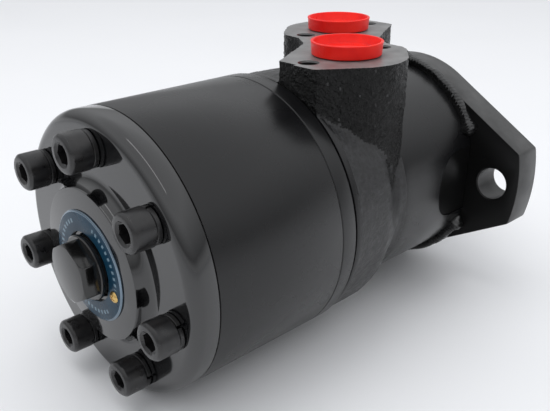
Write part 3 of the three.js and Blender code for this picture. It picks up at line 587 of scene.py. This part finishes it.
def cover_screws():
    washer_back = COVER_FACE_X - 0.1
    washer_front = washer_back - 1.7
    under_head = washer_front - 0.1
    face = under_head - 8
    head = lathe("screw_head", [
        (face, 0), (face, 5.55), (face + 0.12, 5.75), (face + 0.75, 6.35), (face + 1.0, 6.46),
        (face + 1.4, SCREW_HEAD_R), (under_head - 0.35, SCREW_HEAD_R), (under_head, SCREW_HEAD_R - 0.35),
        (under_head, 4.2), (under_head + 0.5, 3.9), (-85.0, 3.9), (-84.0, 2.9), (-84.0, 0),
    ], 72)
    lead_in = lathe("lead_in", [
        (face - 1, 0), (face - 1, 4.2), (face, 4.15), (face + 0.75, 3.3), (face + 0.75, 0),
    ], 48)
    combine(head, [hex_socket(face, face + 4.4, 6.0), lead_in])
    washer = spring_washer(washer_front, washer_back)
    for i in range(SCREWS):
        y, z = polar(SCREW_CIRCLE_R, screw_angle(i))
        turn = Matrix.Translation(Vector((0, y, z)) * MM) @ Matrix.Rotation(0.7 * i + 0.3, 4, "X")
        for source, name, node in (
            (head, "screw_with_socket", "cover_screw"),
            (washer, "split_washer", "spring_washer"),
        ):
            copy = bpy.data.objects.new(f"{name}_{i + 1}", source.data.copy())
            copy.data.transform(turn)
            bpy.context.scene.collection.objects.link(copy)
            paint(copy, "oxide")
            finish_piece(copy, BODY, "black_oxide", f"{node}_{i + 1}")
    bpy.data.objects.remove(head)
    bpy.data.objects.remove(washer)


def spring_washer(x0, x1):
    """A split ring of square wire whose two ends stand a little apart."""
    bm = bmesh.new()
    steps = 72
    lead = 0.16
    gap = math.radians(9)
    inner, outer, cut = 4.25, 6.3, 0.22
    section = [
        (x0 + cut, inner), (x0, inner + cut), (x0, outer - cut), (x0 + cut, outer),
        (x1 - cut, outer), (x1, outer - cut), (x1, inner + cut), (x1 - cut, inner),
    ]
    rings = []
    for i in range(steps + 1):
        t = i / steps
        a = gap / 2 + (2 * math.pi - gap) * t
        shift = lead * (t - 0.5)
        ring = []
        for x, r in section:
            squeeze = 1 - 2 * abs(shift) / (x1 - x0)
            middle = (x0 + x1) / 2
            spot = Vector((middle + (x - middle) * squeeze + shift, *polar(r, a)))
            ring.append(bm.verts.new(spot * MM))
        rings.append(ring)
    for low, high in zip(rings, rings[1:]):
        for k in range(len(section)):
            j = (k + 1) % len(section)
            bm.faces.new((low[k], low[j], high[j], high[k]))
    bm.faces.new(rings[0])
    bm.faces.new(rings[-1])
    return new_object("spring_washer_source", bm)


def drain_plug():
    back = HUB_FACE_X - 1.3
    collar = back - 1.5
    face = PLUG_FACE_X
    circumradius = PLUG_CORNER_R
    flat_r = circumradius * math.cos(math.pi / 6) - 0.3
    plug = loft("hex_plug", [
        hexagon(face, circumradius, math.pi / 2), hexagon(collar + 0.4, circumradius, math.pi / 2),
    ])
    crown = lathe("crown", [
        (face, 0), (face, flat_r + 0.3), (face + 0.1, flat_r + 0.6), (face + 0.8, circumradius + 0.2),
        (back + 2, circumradius + 0.2), (back + 2, 0),
    ], 96)
    combine(plug, [crown], "INTERSECT")
    soften = plug.modifiers.new("soften", "BEVEL")
    soften.width = 0.12 * MM
    soften.segments = 2
    soften.limit_method = "ANGLE"
    soften.angle_limit = math.radians(28)
    bake(plug)
    base = lathe("plug_collar", [
        (collar, 0), (collar, 11.2), (collar + 0.35, 11.6), (back, 11.6), (back, 5.7), (-165, 5.7),
        (-164, 4.9), (-164, 0),
    ], 96)
    combine(plug, [base], "UNION")
    paint(plug, "plug")
    finish_piece(plug, BODY, "black_oxide", "drain_plug")
    x0 = HUB_FACE_X - 1.1
    x1 = HUB_FACE_X - 0.2
    washer = lathe("bonded_washer", [
        (x0 + 0.2, 6.3), (x0, 6.6), (x0, 10.3), (x0 + 0.25, 10.6), (x1, 10.6), (x1, 6.3),
    ], 96)
    paint(washer, "dark_steel")
    finish_piece(washer, BODY, "dark_steel", "plug_washer")


def name_ring():
    back = HUB_FACE_X - 0.1
    front = back - 0.8
    ring = lathe("blank_name_ring", [
        (front, 12.6), (front, 19.25), (front + 0.1, 19.5), (front + 0.45, 19.9), (back, 19.9), (back, 12.5),
        (front + 0.1, 12.5),
    ], 192)
    y, z = polar(PIN_CIRCLE_R, PIN_ANGLE)
    hole = lathe("hole", [
        (front - 1, 0), (front - 1, 1.4), (back + 1, 1.4), (back + 1, 0),
    ], 24, place=(0, y, z))
    combine(ring, [hole])

    def choose(c, n):
        return 1 if math.hypot(c.y, c.z) > 19.3 else 0

    paint_faces(ring, ["blue", "rim_steel"], choose)
    finish_piece(ring, BODY, "blue_enamel", "name_ring")
    pin = lathe("drive_pin", [
        (front - 1.05, 0), (front - 1.0, 0.9), (front - 0.75, 1.55), (front - 0.35, 2.0), (front - 0.1, 2.1),
        (front - 0.1, 1.1), (HUB_FACE_X + 3.4, 1.1), (HUB_FACE_X + 3.4, 0),
    ], 40, place=(0, y, z))
    slots = []
    for k in range(2):
        slot = block("slot", (front - 2, -0.22, -1.3), (front - 0.7, 0.22, 1.3))
        turn = Matrix.Translation(Vector((0, y, z)) * MM) @ Matrix.Rotation(math.pi / 2 * k + 0.5, 4, "X")
        slot.data.transform(turn)
        slots.append(slot)
    combine(pin, slots)
    paint(pin, "brass")
    finish_piece(pin, BODY, "brass", "name_ring_pin")


# ---- housing --------------------------------------------------------------------------------------
def pad_outline():
    """The port pad seen from above: two round lobes with an ear on each side."""
    lobe_r, ear_x, ear_y = 22.8, 26.8, 8.5
    middle = ((PORTS["front"][0] + PORTS["rear"][0]) / 2, 0.0)
    reach = math.hypot(ear_x, ear_y)
    bearing = math.atan2(ear_y, ear_x)
    tangent = math.acos(lobe_r / reach)
    start = -bearing - tangent
    sweep = math.pi + 2 * (bearing + tangent) - 2 * math.pi
    outline = []
    for port, sign in ((PORTS["front"], 1), (PORTS["rear"], -1)):
        outline.append((middle[0] + sign * 15, middle[1] - sign * 6.6))
        local = [(ear_x, ear_y - 6), (ear_x - 0.6, -ear_y + 3), (ear_x - 3, -ear_y - 1)]
        for i in range(1, 25):
            a = start + sweep * i / 24
            local.append((lobe_r * math.cos(a), lobe_r * math.sin(a)))
        local += [(-ear_x, -ear_y), (-ear_x, ear_y)]
        outline += [(port[0] + sign * dx, port[1] + sign * dy) for dx, dy in local]
    outline.reverse()
    return rounded(outline, 3.0)


def cast_blob():
    """The as-cast body and port block, one skin with soft inner corners and a sandy surface."""
    rear = HOUSING_X - 4
    body = lathe("housing_casting", [
        (rear, 0), (rear, CAST_R), (-79, CAST_R), (-75.5, CAST_R - 1.2), (-71.5, NECK_R + 2.2),
        (-66, NECK_R - 0.3), (-60, NECK_R - 1.6), (-16, NECK_R - 1.6), (-16, 0),
    ], 160)
    outline = pad_outline()
    pad = loft("pad_block", [[(x, y, 8.0) for x, y in outline], [(x, y, PAD_Z + 3) for x, y in outline]])
    combine(body, [pad], "UNION")
    skin = body.modifiers.new("skin", "REMESH")
    skin.mode = "VOXEL"
    skin.voxel_size = 0.9 * MM
    soft = body.modifiers.new("soft", "SMOOTH")
    soft.factor = 0.5
    soft.iterations = 7
    bake(body)
    normals = [vertex.normal.copy() for vertex in body.data.vertices]
    for vertex, normal in zip(body.data.vertices, normals):
        p = vertex.co / MM
        grain = noise.fractal(p * 0.75, 0.6, 2.1, 4)
        waves = noise.fractal(p * 0.12, 0.8, 2.0, 2)
        on_body = math.hypot(p.y, p.z) < CAST_R + 0.6
        vertex.co += normal * ((0.1 if on_body else 0.34) * grain + 0.2 * waves) * MM
    return body


def flange_points(margin, corner_r=3.5):
    slope = math.pi / 6
    centre_r = FLANGE_CENTRE_R + margin
    tip_r = FLANGE_TIP_R + margin
    tangent = math.pi / 2 - slope
    ty, tz = polar(centre_r, tangent)
    along = math.sqrt(tip_r ** 2 - centre_r ** 2)
    corner = (ty + along * math.cos(slope), tz - along * math.sin(slope))
    end = math.atan2(corner[1], corner[0])
    quarter = []
    arc = 20
    for i in range(arc + 1):
        quarter.append(polar(centre_r, tangent + (math.pi / 2 - tangent) * (1 - i / arc)))
    tip = []
    for i in range(9):
        tip.append(polar(tip_r, end * (1 - i / 8)))
    right_top = quarter + tip
    right_bottom = [(y, -z) for y, z in reversed(right_top[:-1])]
    right = right_top + right_bottom
    left = [(-y, -z) for y, z in right]
    return rounded(right[:-1] + left[:-1], corner_r, 4)


def bolt_relief(side):
    """The flat milled for a bolt head behind each lug, with a round run-out."""
    half_h, arc_x, y0 = 14.6, -24.0, RELIEF_Y
    outline = [(-FLANGE_T + 0.3, -half_h), (-FLANGE_T + 0.3, half_h)]
    for i in range(33):
        a = math.pi / 2 + math.pi * i / 32
        outline.append((arc_x + half_h * math.cos(a), half_h * math.sin(a)))
    rings = [[(x, side * y, z) for x, z in outline] for y in (y0, y0 + 12)]
    return loft("bolt_relief", rings)


def thread_cutter(name, x, y, top, depth, radius, pitch, chamfer=0.7):
    """A cutter for a threaded hole: its wall steps in and out once every pitch."""
    profile = [(top + 1, 0), (top + 1, radius + chamfer + 1), (top, radius + chamfer)]
    profile.append((top - chamfer, radius + 0.1))
    z = top - chamfer - 0.1
    while z > top - depth + pitch:
        profile += [(z, radius), (z - pitch / 2, radius + pitch * 0.5), (z - pitch * 0.98, radius)]
        z -= pitch
    profile += [(top - depth, radius), (top - depth - radius * 0.5, 0)]
    return upright(name, profile, x, y, 48)


def rod(name, x0, x1, radius, segments=96):
    return lathe(name, [(x0, 0), (x0, radius), (x1, radius), (x1, 0)], segments)


def housing():
    rear = HOUSING_X + JOINT_GAP
    front = -FLANGE_T - 0.3
    body = cast_blob()
    turned = lathe("turned_surfaces", [
        (rear - 2, 0), (rear - 2, BODY_R - 2.2), (rear + 0.9, BODY_R - 2.2), (rear + 1.2, BODY_R - 0.75),
        (rear + 1.5, BODY_R - 0.6), (rear + 3.0, BODY_R - 0.6), (rear + 3.6, BODY_R - 1.4),
        (rear + 6, NECK_R - 3), (-70, NECK_R - 3), (-64, NECK_R - 0.8),
        *[(-62 + 1.5 * i, NECK_R - 0.5 * math.exp(-i)) for i in range(32)],
        (front, NECK_R), (front, NOSE_R), (NOSE_X - 0.6, NOSE_R), (NOSE_X, NOSE_R - 0.6), (NOSE_X, 0),
    ], 256)
    combine(body, [turned], "UNION")
    plate_space = loft("plate_space", [
        [(x, y, z) for y, z in flange_points(0.3, 0.5)] for x in (front, 0.5)
    ])
    combine(plate_space, [rod("nose_keep", front - 2, 2, NOSE_R)])
    joint_groove = lathe("joint_groove", [
        (rear - 2, BODY_R - 2.4), (rear - 2, BODY_R + 9), (rear + 1.3, BODY_R + 9),
        (rear + 1.1, BODY_R - 0.9), (rear + 0.9, BODY_R - 2.4),
    ], 256)
    cutters = [
        joint_groove, plate_space, bolt_relief(1), bolt_relief(-1),
        block("rear_cut", (rear - 30, -90, -90), (rear, 90, 90)),
        block("top_cut", (-200, -90, PAD_Z), (50, 90, PAD_Z + 20)),
        rod("spool_bore", rear - 1, -20.8, SPOOL_BORE_R),
        rod("shoulder_bore", -22, -16, 15.2),
        rod("front_pocket", -17.5, NOSE_X + 1, 20),
    ]
    for side, (px, py) in PORTS.items():
        cutters.append(thread_cutter(f"port_{side}", px, py, PAD_Z, 15, 9.5, 1.8, 1.2))
        cutters.append(upright("port_drill", [(4, 0), (4, 5), (44, 5), (44, 0)], px, py, 48))
        for k in (-0.5, 0.5):
            x = px + k * PAD_SCREW_SPACING
            cutters.append(thread_cutter(f"pad_screw_{side}_{k}", x, py, PAD_Z, 11, PAD_SCREW_R, 1.25, 0.5))
    cutters += screw_holes(rear - 1, -81)
    combine(body, [combine(cutters[0], cutters[1:], "UNION")])
    paint_faces(body, ["pad", "cast", "neck", "bore", "milled", "wall", "dark_steel"], housing_finish)
    finish_piece(body, BODY, "black_paint", "housing", angle=38)


def housing_finish(c, n):
    """Which finish a face of the housing has, from its centre and normal."""
    pad, cast, neck, bore, milled, wall, thread = range(7)
    port_mouth_r, screw_mouth_r, relief_half = 11.6, 4.6, 14.8
    r = math.hypot(c.y, c.z)
    if c.z > PAD_Z - 0.05 and n.z > 0.9:
        return pad
    if r < 30:
        return bore if c.z < 30 and c.x < 0 else neck
    if c.z > 35:
        for px, py in PORTS.values():
            if math.hypot(c.x - px, c.y - py) < port_mouth_r:
                return thread
            for k in (-0.5, 0.5):
                if math.hypot(c.x - px - k * PAD_SCREW_SPACING, c.y - py) < screw_mouth_r:
                    return thread
    in_relief = c.x > RELIEF_END_X and abs(c.z) < relief_half
    if in_relief and abs(abs(c.y) - RELIEF_Y) < 0.2:
        return milled
    if in_relief and abs(c.y) > RELIEF_Y and abs(n.y) < 0.2:
        return milled
    if c.x < HOUSING_X + 4 and r < BODY_R:
        return neck
    if c.x > -64 and abs(r - NECK_R) < 0.3:
        return neck
    upright_wall = c.z > 12 and abs(n.z) < 0.35 and r > NECK_R
    off_the_barrel = n.y * c.y + n.z * c.z < 0.93 * r
    if upright_wall and off_the_barrel:
        return wall
    return cast


# ---- mounting flange and welds --------------------------------------------------------------------
def mounting_flange():
    edge = 0.7
    rings = []
    for x, margin in (
        (-FLANGE_T, -edge), (-FLANGE_T + edge * 0.3, -edge * 0.3), (-FLANGE_T + edge, 0),
        (-edge, 0), (-edge * 0.3, -edge * 0.3), (0, -edge),
    ):
        rings.append([(x, y, z) for y, z in flange_points(margin)])
    plate = loft("mounting_flange_plate", rings)
    pilot = lathe("pilot", [
        (-3, 0), (-3, PILOT_R), (PILOT_H - 1, PILOT_R), (PILOT_H - 0.2, PILOT_R - 0.4),
        (PILOT_H, PILOT_R - 1), (PILOT_H, 0),
    ], 256)
    combine(plate, [pilot], "UNION")
    cutters = [rod("nose_hole", -FLANGE_T - 1, PILOT_H + 1, NOSE_R + 0.3, 192)]
    for y in (-LUG_HOLE_Y, LUG_HOLE_Y):
        cutters.append(lathe("lug_hole", [
            (-FLANGE_T - 1, 0), (-FLANGE_T - 1, LUG_HOLE_R + 0.5), (-FLANGE_T, LUG_HOLE_R + 0.5),
            (-FLANGE_T + 0.5, LUG_HOLE_R), (-0.5, LUG_HOLE_R), (0, LUG_HOLE_R + 0.5), (1, LUG_HOLE_R + 0.5),
            (1, 0),
        ], 96, place=(0, y, 0)))
    combine(plate, cutters)

    def choose(c, n):
        on_rim = abs(n.x) < 0.5 and math.hypot(c.y, c.z) > 42
        return 1 if on_rim else 0

    paint_faces(plate, ["milled", "rim"], choose)
    finish_piece(plate, BODY, "black_paint", "mounting_flange")


def weld_bead(name, node, start, end, seed):
    """A fillet weld laid in ripples round the neck, with a heavier start and crater at its ends."""
    bm = bmesh.new()
    length = math.radians(end - start) * BEAD_R
    steps = int(length / 0.28)
    across = 14
    ripple = 1.5
    rings = []
    for i in range(steps + 1):
        t = i / steps
        s = t * length
        ring = []
        tail = min(s, length - s)
        swell = 1.0 + 0.55 * math.exp(-((tail - 3.4) / 2.8) ** 2)
        taper = math.sqrt(min(1.0, 0.04 + tail / 3.0))
        wander = 0.35 * noise.noise(Vector((s * 0.12, seed, 0)))
        for k in range(across + 1):
            u = k / across
            bow = math.sin(math.pi * u)
            lag = 0.9 * bow
            wave = abs(math.sin(math.pi * ((s + lag) / ripple)))
            height = (1.3 + wander + 0.34 * wave) * swell * taper
            lump = 0.2 * taper * noise.fractal(Vector((s * 0.3, u * 1.2, seed)), 0.9, 2, 2)
            leg = 3.2 * swell * taper
            x = -FLANGE_T - 0.1 - leg * (1 - u) - height * 0.75 * bow - lump
            r = NECK_R + 0.05 + leg * u + height * 0.75 * bow + lump
            a = math.radians(start) + s / BEAD_R
            ring.append(bm.verts.new(Vector((x, *polar(r, a))) * MM))
        root = Vector((-FLANGE_T + 0.4, *polar(NECK_R - 0.4, math.radians(start) + s / BEAD_R)))
        ring.append(bm.verts.new(root * MM))
        rings.append(ring)
    count = across + 2
    for low, high in zip(rings, rings[1:]):
        for k in range(count):
            j = (k + 1) % count
            bm.faces.new((low[k], low[j], high[j], high[k]))
    bm.faces.new(rings[0])
    bm.faces.new(rings[-1])
    bead = new_object(name, bm, 60)
    paint(bead, "weld")
    finish_piece(bead, BODY, "black_paint", node, angle=60)


# ---- caps -----------------------------------------------------------------------------------------
def port_caps():
    lip = PAD_Z + 0.3
    top = PAD_Z + 5.2
    stem = PAD_Z - 9
    for side, (px, py) in PORTS.items():
        cap = upright(f"moulded_cap_{side}", [
            (stem, 0), (stem, 8.2), (stem + 0.4, 8.6), (PAD_Z - 1, 9.1), (lip, 9.15), (lip, 12.7),
            (lip + 0.25, 13.0), (top - 0.9, 13.25), (top - 0.35, 13.42), (top - 0.08, 13.3), (top, 13.0),
            (top - 0.08, 12.5), (top - 0.5, 12.3), (lip + 1.9, 12.05), (lip + 1.4, 11.6), (lip + 1.2, 8.5),
            (lip + 0.9, 7.9), (stem + 1.6, 7.5), (stem + 1.2, 7.1), (stem + 1.2, 0),
        ], px, py, 128, angle=40)
        paint(cap, "red")
        finish_piece(cap, BODY, "red_plastic", f"port_cap_{side}", angle=40)


# ---- shaft ----------------------------------------------------------------------------------------
def toothed_ring(x, root_r, tip_r, root_half, tip_half, phase, teeth=10):
    ring = []
    for i in range(teeth):
        for r, da in ((root_r, -root_half), (tip_r, -tip_half), (tip_r, tip_half), (root_r, root_half)):
            y, z = polar(r, phase + 2 * math.pi * i / teeth + math.radians(da))
            ring.append((x, y, z))
    return ring


def output_shaft():
    fx = PORTS["front"][0]
    rx = PORTS["rear"][0]
    spool, groove = SPOOL_R, SPOOL_GROOVE_R
    shaft = lathe("keyed_output_shaft", [
        (-97.3, 0), (-97.3, 17), (-96.3, spool), (fx - 6, spool), (fx - 6, groove), (fx + 6, groove),
        (fx + 6, spool), (rx - 4.5, spool), (rx - 4.5, groove), (rx + 4.5, groove), (rx + 4.5, spool),
        (-28, spool), (-28, 14), (7.6, 14), (8.2, 13.8), (9, 12.9), (9.4, SHAFT_R), (41.8, SHAFT_R),
        (42.2, 12.3), (SHAFT_END_X, 11.3), (SHAFT_END_X, 0),
    ], 160)
    cutters = [rod("hollow", -98, -57, 13)]
    cutters.append(loft("spline", [
        toothed_ring(x, 9.2, 11.6, 12, 10.5, ROLLER_PHASE) for x in (-57.01, -35)
    ]))
    for i in range(12):
        x0, x1 = (fx, -48) if i % 2 == 0 else (-60, rx)
        slot = block("timing_slot", (x0, 15.8, -2), (x1, 20, 2))
        slot.data.transform(Matrix.Rotation(math.pi * i / 6, 4, "X"))
        cutters.append(slot)
    cutters.append(key_solid("keyway", 0.05, KEY_TOP_Z - KEY_H - 0.1, KEY_TOP_Z + 4, 0))
    cutters.append(lathe("centre_thread", [
        (25, 0), (26, 3.4), (41.6, 3.4), (43, 4.8), (44, 4.8), (44, 0),
    ], 48))
    combine(shaft, cutters)
    paint(shaft, "steel")
    finish_piece(shaft, SHAFT, "bright_steel", "output_shaft")
    key = key_solid("parallel_key", 0.0, KEY_TOP_Z - KEY_H, KEY_TOP_Z, 0.35)
    paint(key, "steel")
    finish_piece(key, SHAFT, "bright_steel", "shaft_key")


def key_solid(name, grow, z0, z1, chamfer):
    rings = []
    levels = [(z0, 0), (z1, 0)]
    if chamfer:
        levels = [(z0, chamfer), (z0 + chamfer, 0), (z1 - chamfer, 0), (z1, chamfer)]
    for z, inset in levels:
        r = KEY_W / 2 + grow - inset
        ring = []
        for cx, start in ((KEY_START_X + KEY_L - KEY_W / 2, -90), (KEY_START_X + KEY_W / 2, 90)):
            for k in range(17):
                a = math.radians(start + 180 * k / 16)
                ring.append((cx + r * math.cos(a), r * math.sin(a), z))
        rings.append(ring)
    return loft(name, rings)


def dust_seal():
    seal = lathe("lipped_dust_seal", [
        (2.8, 15), (2.8, 19.5), (3.1, 19.7), (4.7, 19.7), (5.0, 19.4), (5.0, 16.6), (4.4, 16.0), (4.5, 15.4),
        (5.2, 14.8), (5.2, 14.4), (4.6, 14.25), (3.4, 14.6),
    ], 128)
    paint(seal, "rubber")
    finish_piece(seal, BODY, "black_rubber", "dust_seal")


def inner_parts():
    """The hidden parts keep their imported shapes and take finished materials."""
    looks = {
        "rotor": "steel", "drive_spacer": "steel", "drive_link": "steel", "thrust_washer_front": "bearing",
        "thrust_washer_rear": "bearing", "thrust_bearing_cage": "bearing", "needle_bearing_cup": "bearing",
        "needle_bearing_cage": "bearing", "retaining_ring": "bearing", "shaft_seal": "rubber",
        "oring_cover": "rubber", "oring_plate": "rubber", "oring_housing": "rubber",
    }
    for i in range(SCREWS):
        looks[f"roller_{i + 1}"] = "steel"
    for node, look in looks.items():
        paint(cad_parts[node], look)


# ---- stage ----------------------------------------------------------------------------------------
def stage():
    bm = bmesh.new()
    bmesh.ops.create_grid(bm, x_segments=8, y_segments=8, size=FLOOR_SIZE)
    floor = new_object("floor", bm)
    floor.location = (0, 0, -BODY_R * MM)
    mat = shader("floor_white", (0.84, 0.845, 0.86), 0.6)
    vary_roughness(mat, object_noise(mat, 8, 3), 0.55, 0.7)
    floor.data.materials.append(mat)
    studio_world()
    for name, spot, target, size, power in LIGHTS:
        data = bpy.data.lights.new(name, "AREA")
        data.shape = "RECTANGLE"
        data.size, data.size_y = size
        data.energy = power
        lamp = bpy.data.objects.new(name, data)
        # only the edge light shows in reflections: the others would put pale squares on the cover
        lamp.visible_glossy = name == "edge_light"
        lamp.location = spot
        lamp.rotation_euler = (Vector(target) - Vector(spot)).to_track_quat("-Z", "Y").to_euler()
        bpy.context.scene.collection.objects.link(lamp)


def studio_world():
    """A light tent: bright overhead, with a darker band above a pale horizon."""
    world = bpy.data.worlds.new("studio")
    bpy.context.scene.world = world
    world.use_nodes = True
    nodes, links = world.node_tree.nodes, world.node_tree.links
    coords = nodes.new("ShaderNodeTexCoord")
    split = nodes.new("ShaderNodeSeparateXYZ")
    ramp = nodes.new("ShaderNodeValToRGB")
    stops = ramp.color_ramp.elements
    for position, _ in WORLD_RAMP[1:-1]:
        stops.new(position)
    for stop, (position, grey) in zip(stops, WORLD_RAMP):
        stop.position = position
        stop.color = (grey * 0.985, grey, grey * 1.025, 1)
    links.new(coords.outputs["Generated"], split.inputs["Vector"])
    links.new(split.outputs["Z"], ramp.inputs["Fac"])
    links.new(ramp.outputs["Color"], nodes["Background"].inputs["Color"])
    nodes["Background"].inputs["Strength"].default_value = WORLD_STRENGTH


def camera():
    """A hand-held view of the cover end from above, with the lens shifted down a little."""
    data = bpy.data.cameras.new("camera")
    data.sensor_width = 36.0
    data.lens = data.sensor_width * FOCAL / IMAGE_W
    data.shift_x, data.shift_y = CAMERA_SHIFT
    data.clip_start = 0.01
    turn = Vector(CAMERA_TURN)
    rows = Matrix.Rotation(turn.length, 3, turn.normalized())
    right, down, ahead = rows[0], rows[1], rows[2]
    axes = Matrix((right, -down, -ahead)).transposed()
    obj = bpy.data.objects.new("camera", data)
    obj.matrix_world = Matrix.Translation(Vector(CAMERA_PLACE) * MM) @ axes.to_4x4()
    bpy.context.scene.collection.objects.link(obj)
    bpy.context.scene.camera = obj


bpy.context.scene.view_settings.view_transform = "Standard"
camera()
stage()
stator_ring()
distributor_plate()
end_cover()
cover_screws()
drain_plug()
name_ring()
housing()
mounting_flange()
weld_bead("weld_bead_near", "weld_upper_near", 88, 156, 1)
weld_bead("weld_bead_far", "weld_upper_far", 24, 38, 2)
weld_bead("weld_bead_lower", "weld_lower", 204, 336, 3)
port_caps()
output_shaft()
dust_seal()
inner_parts()
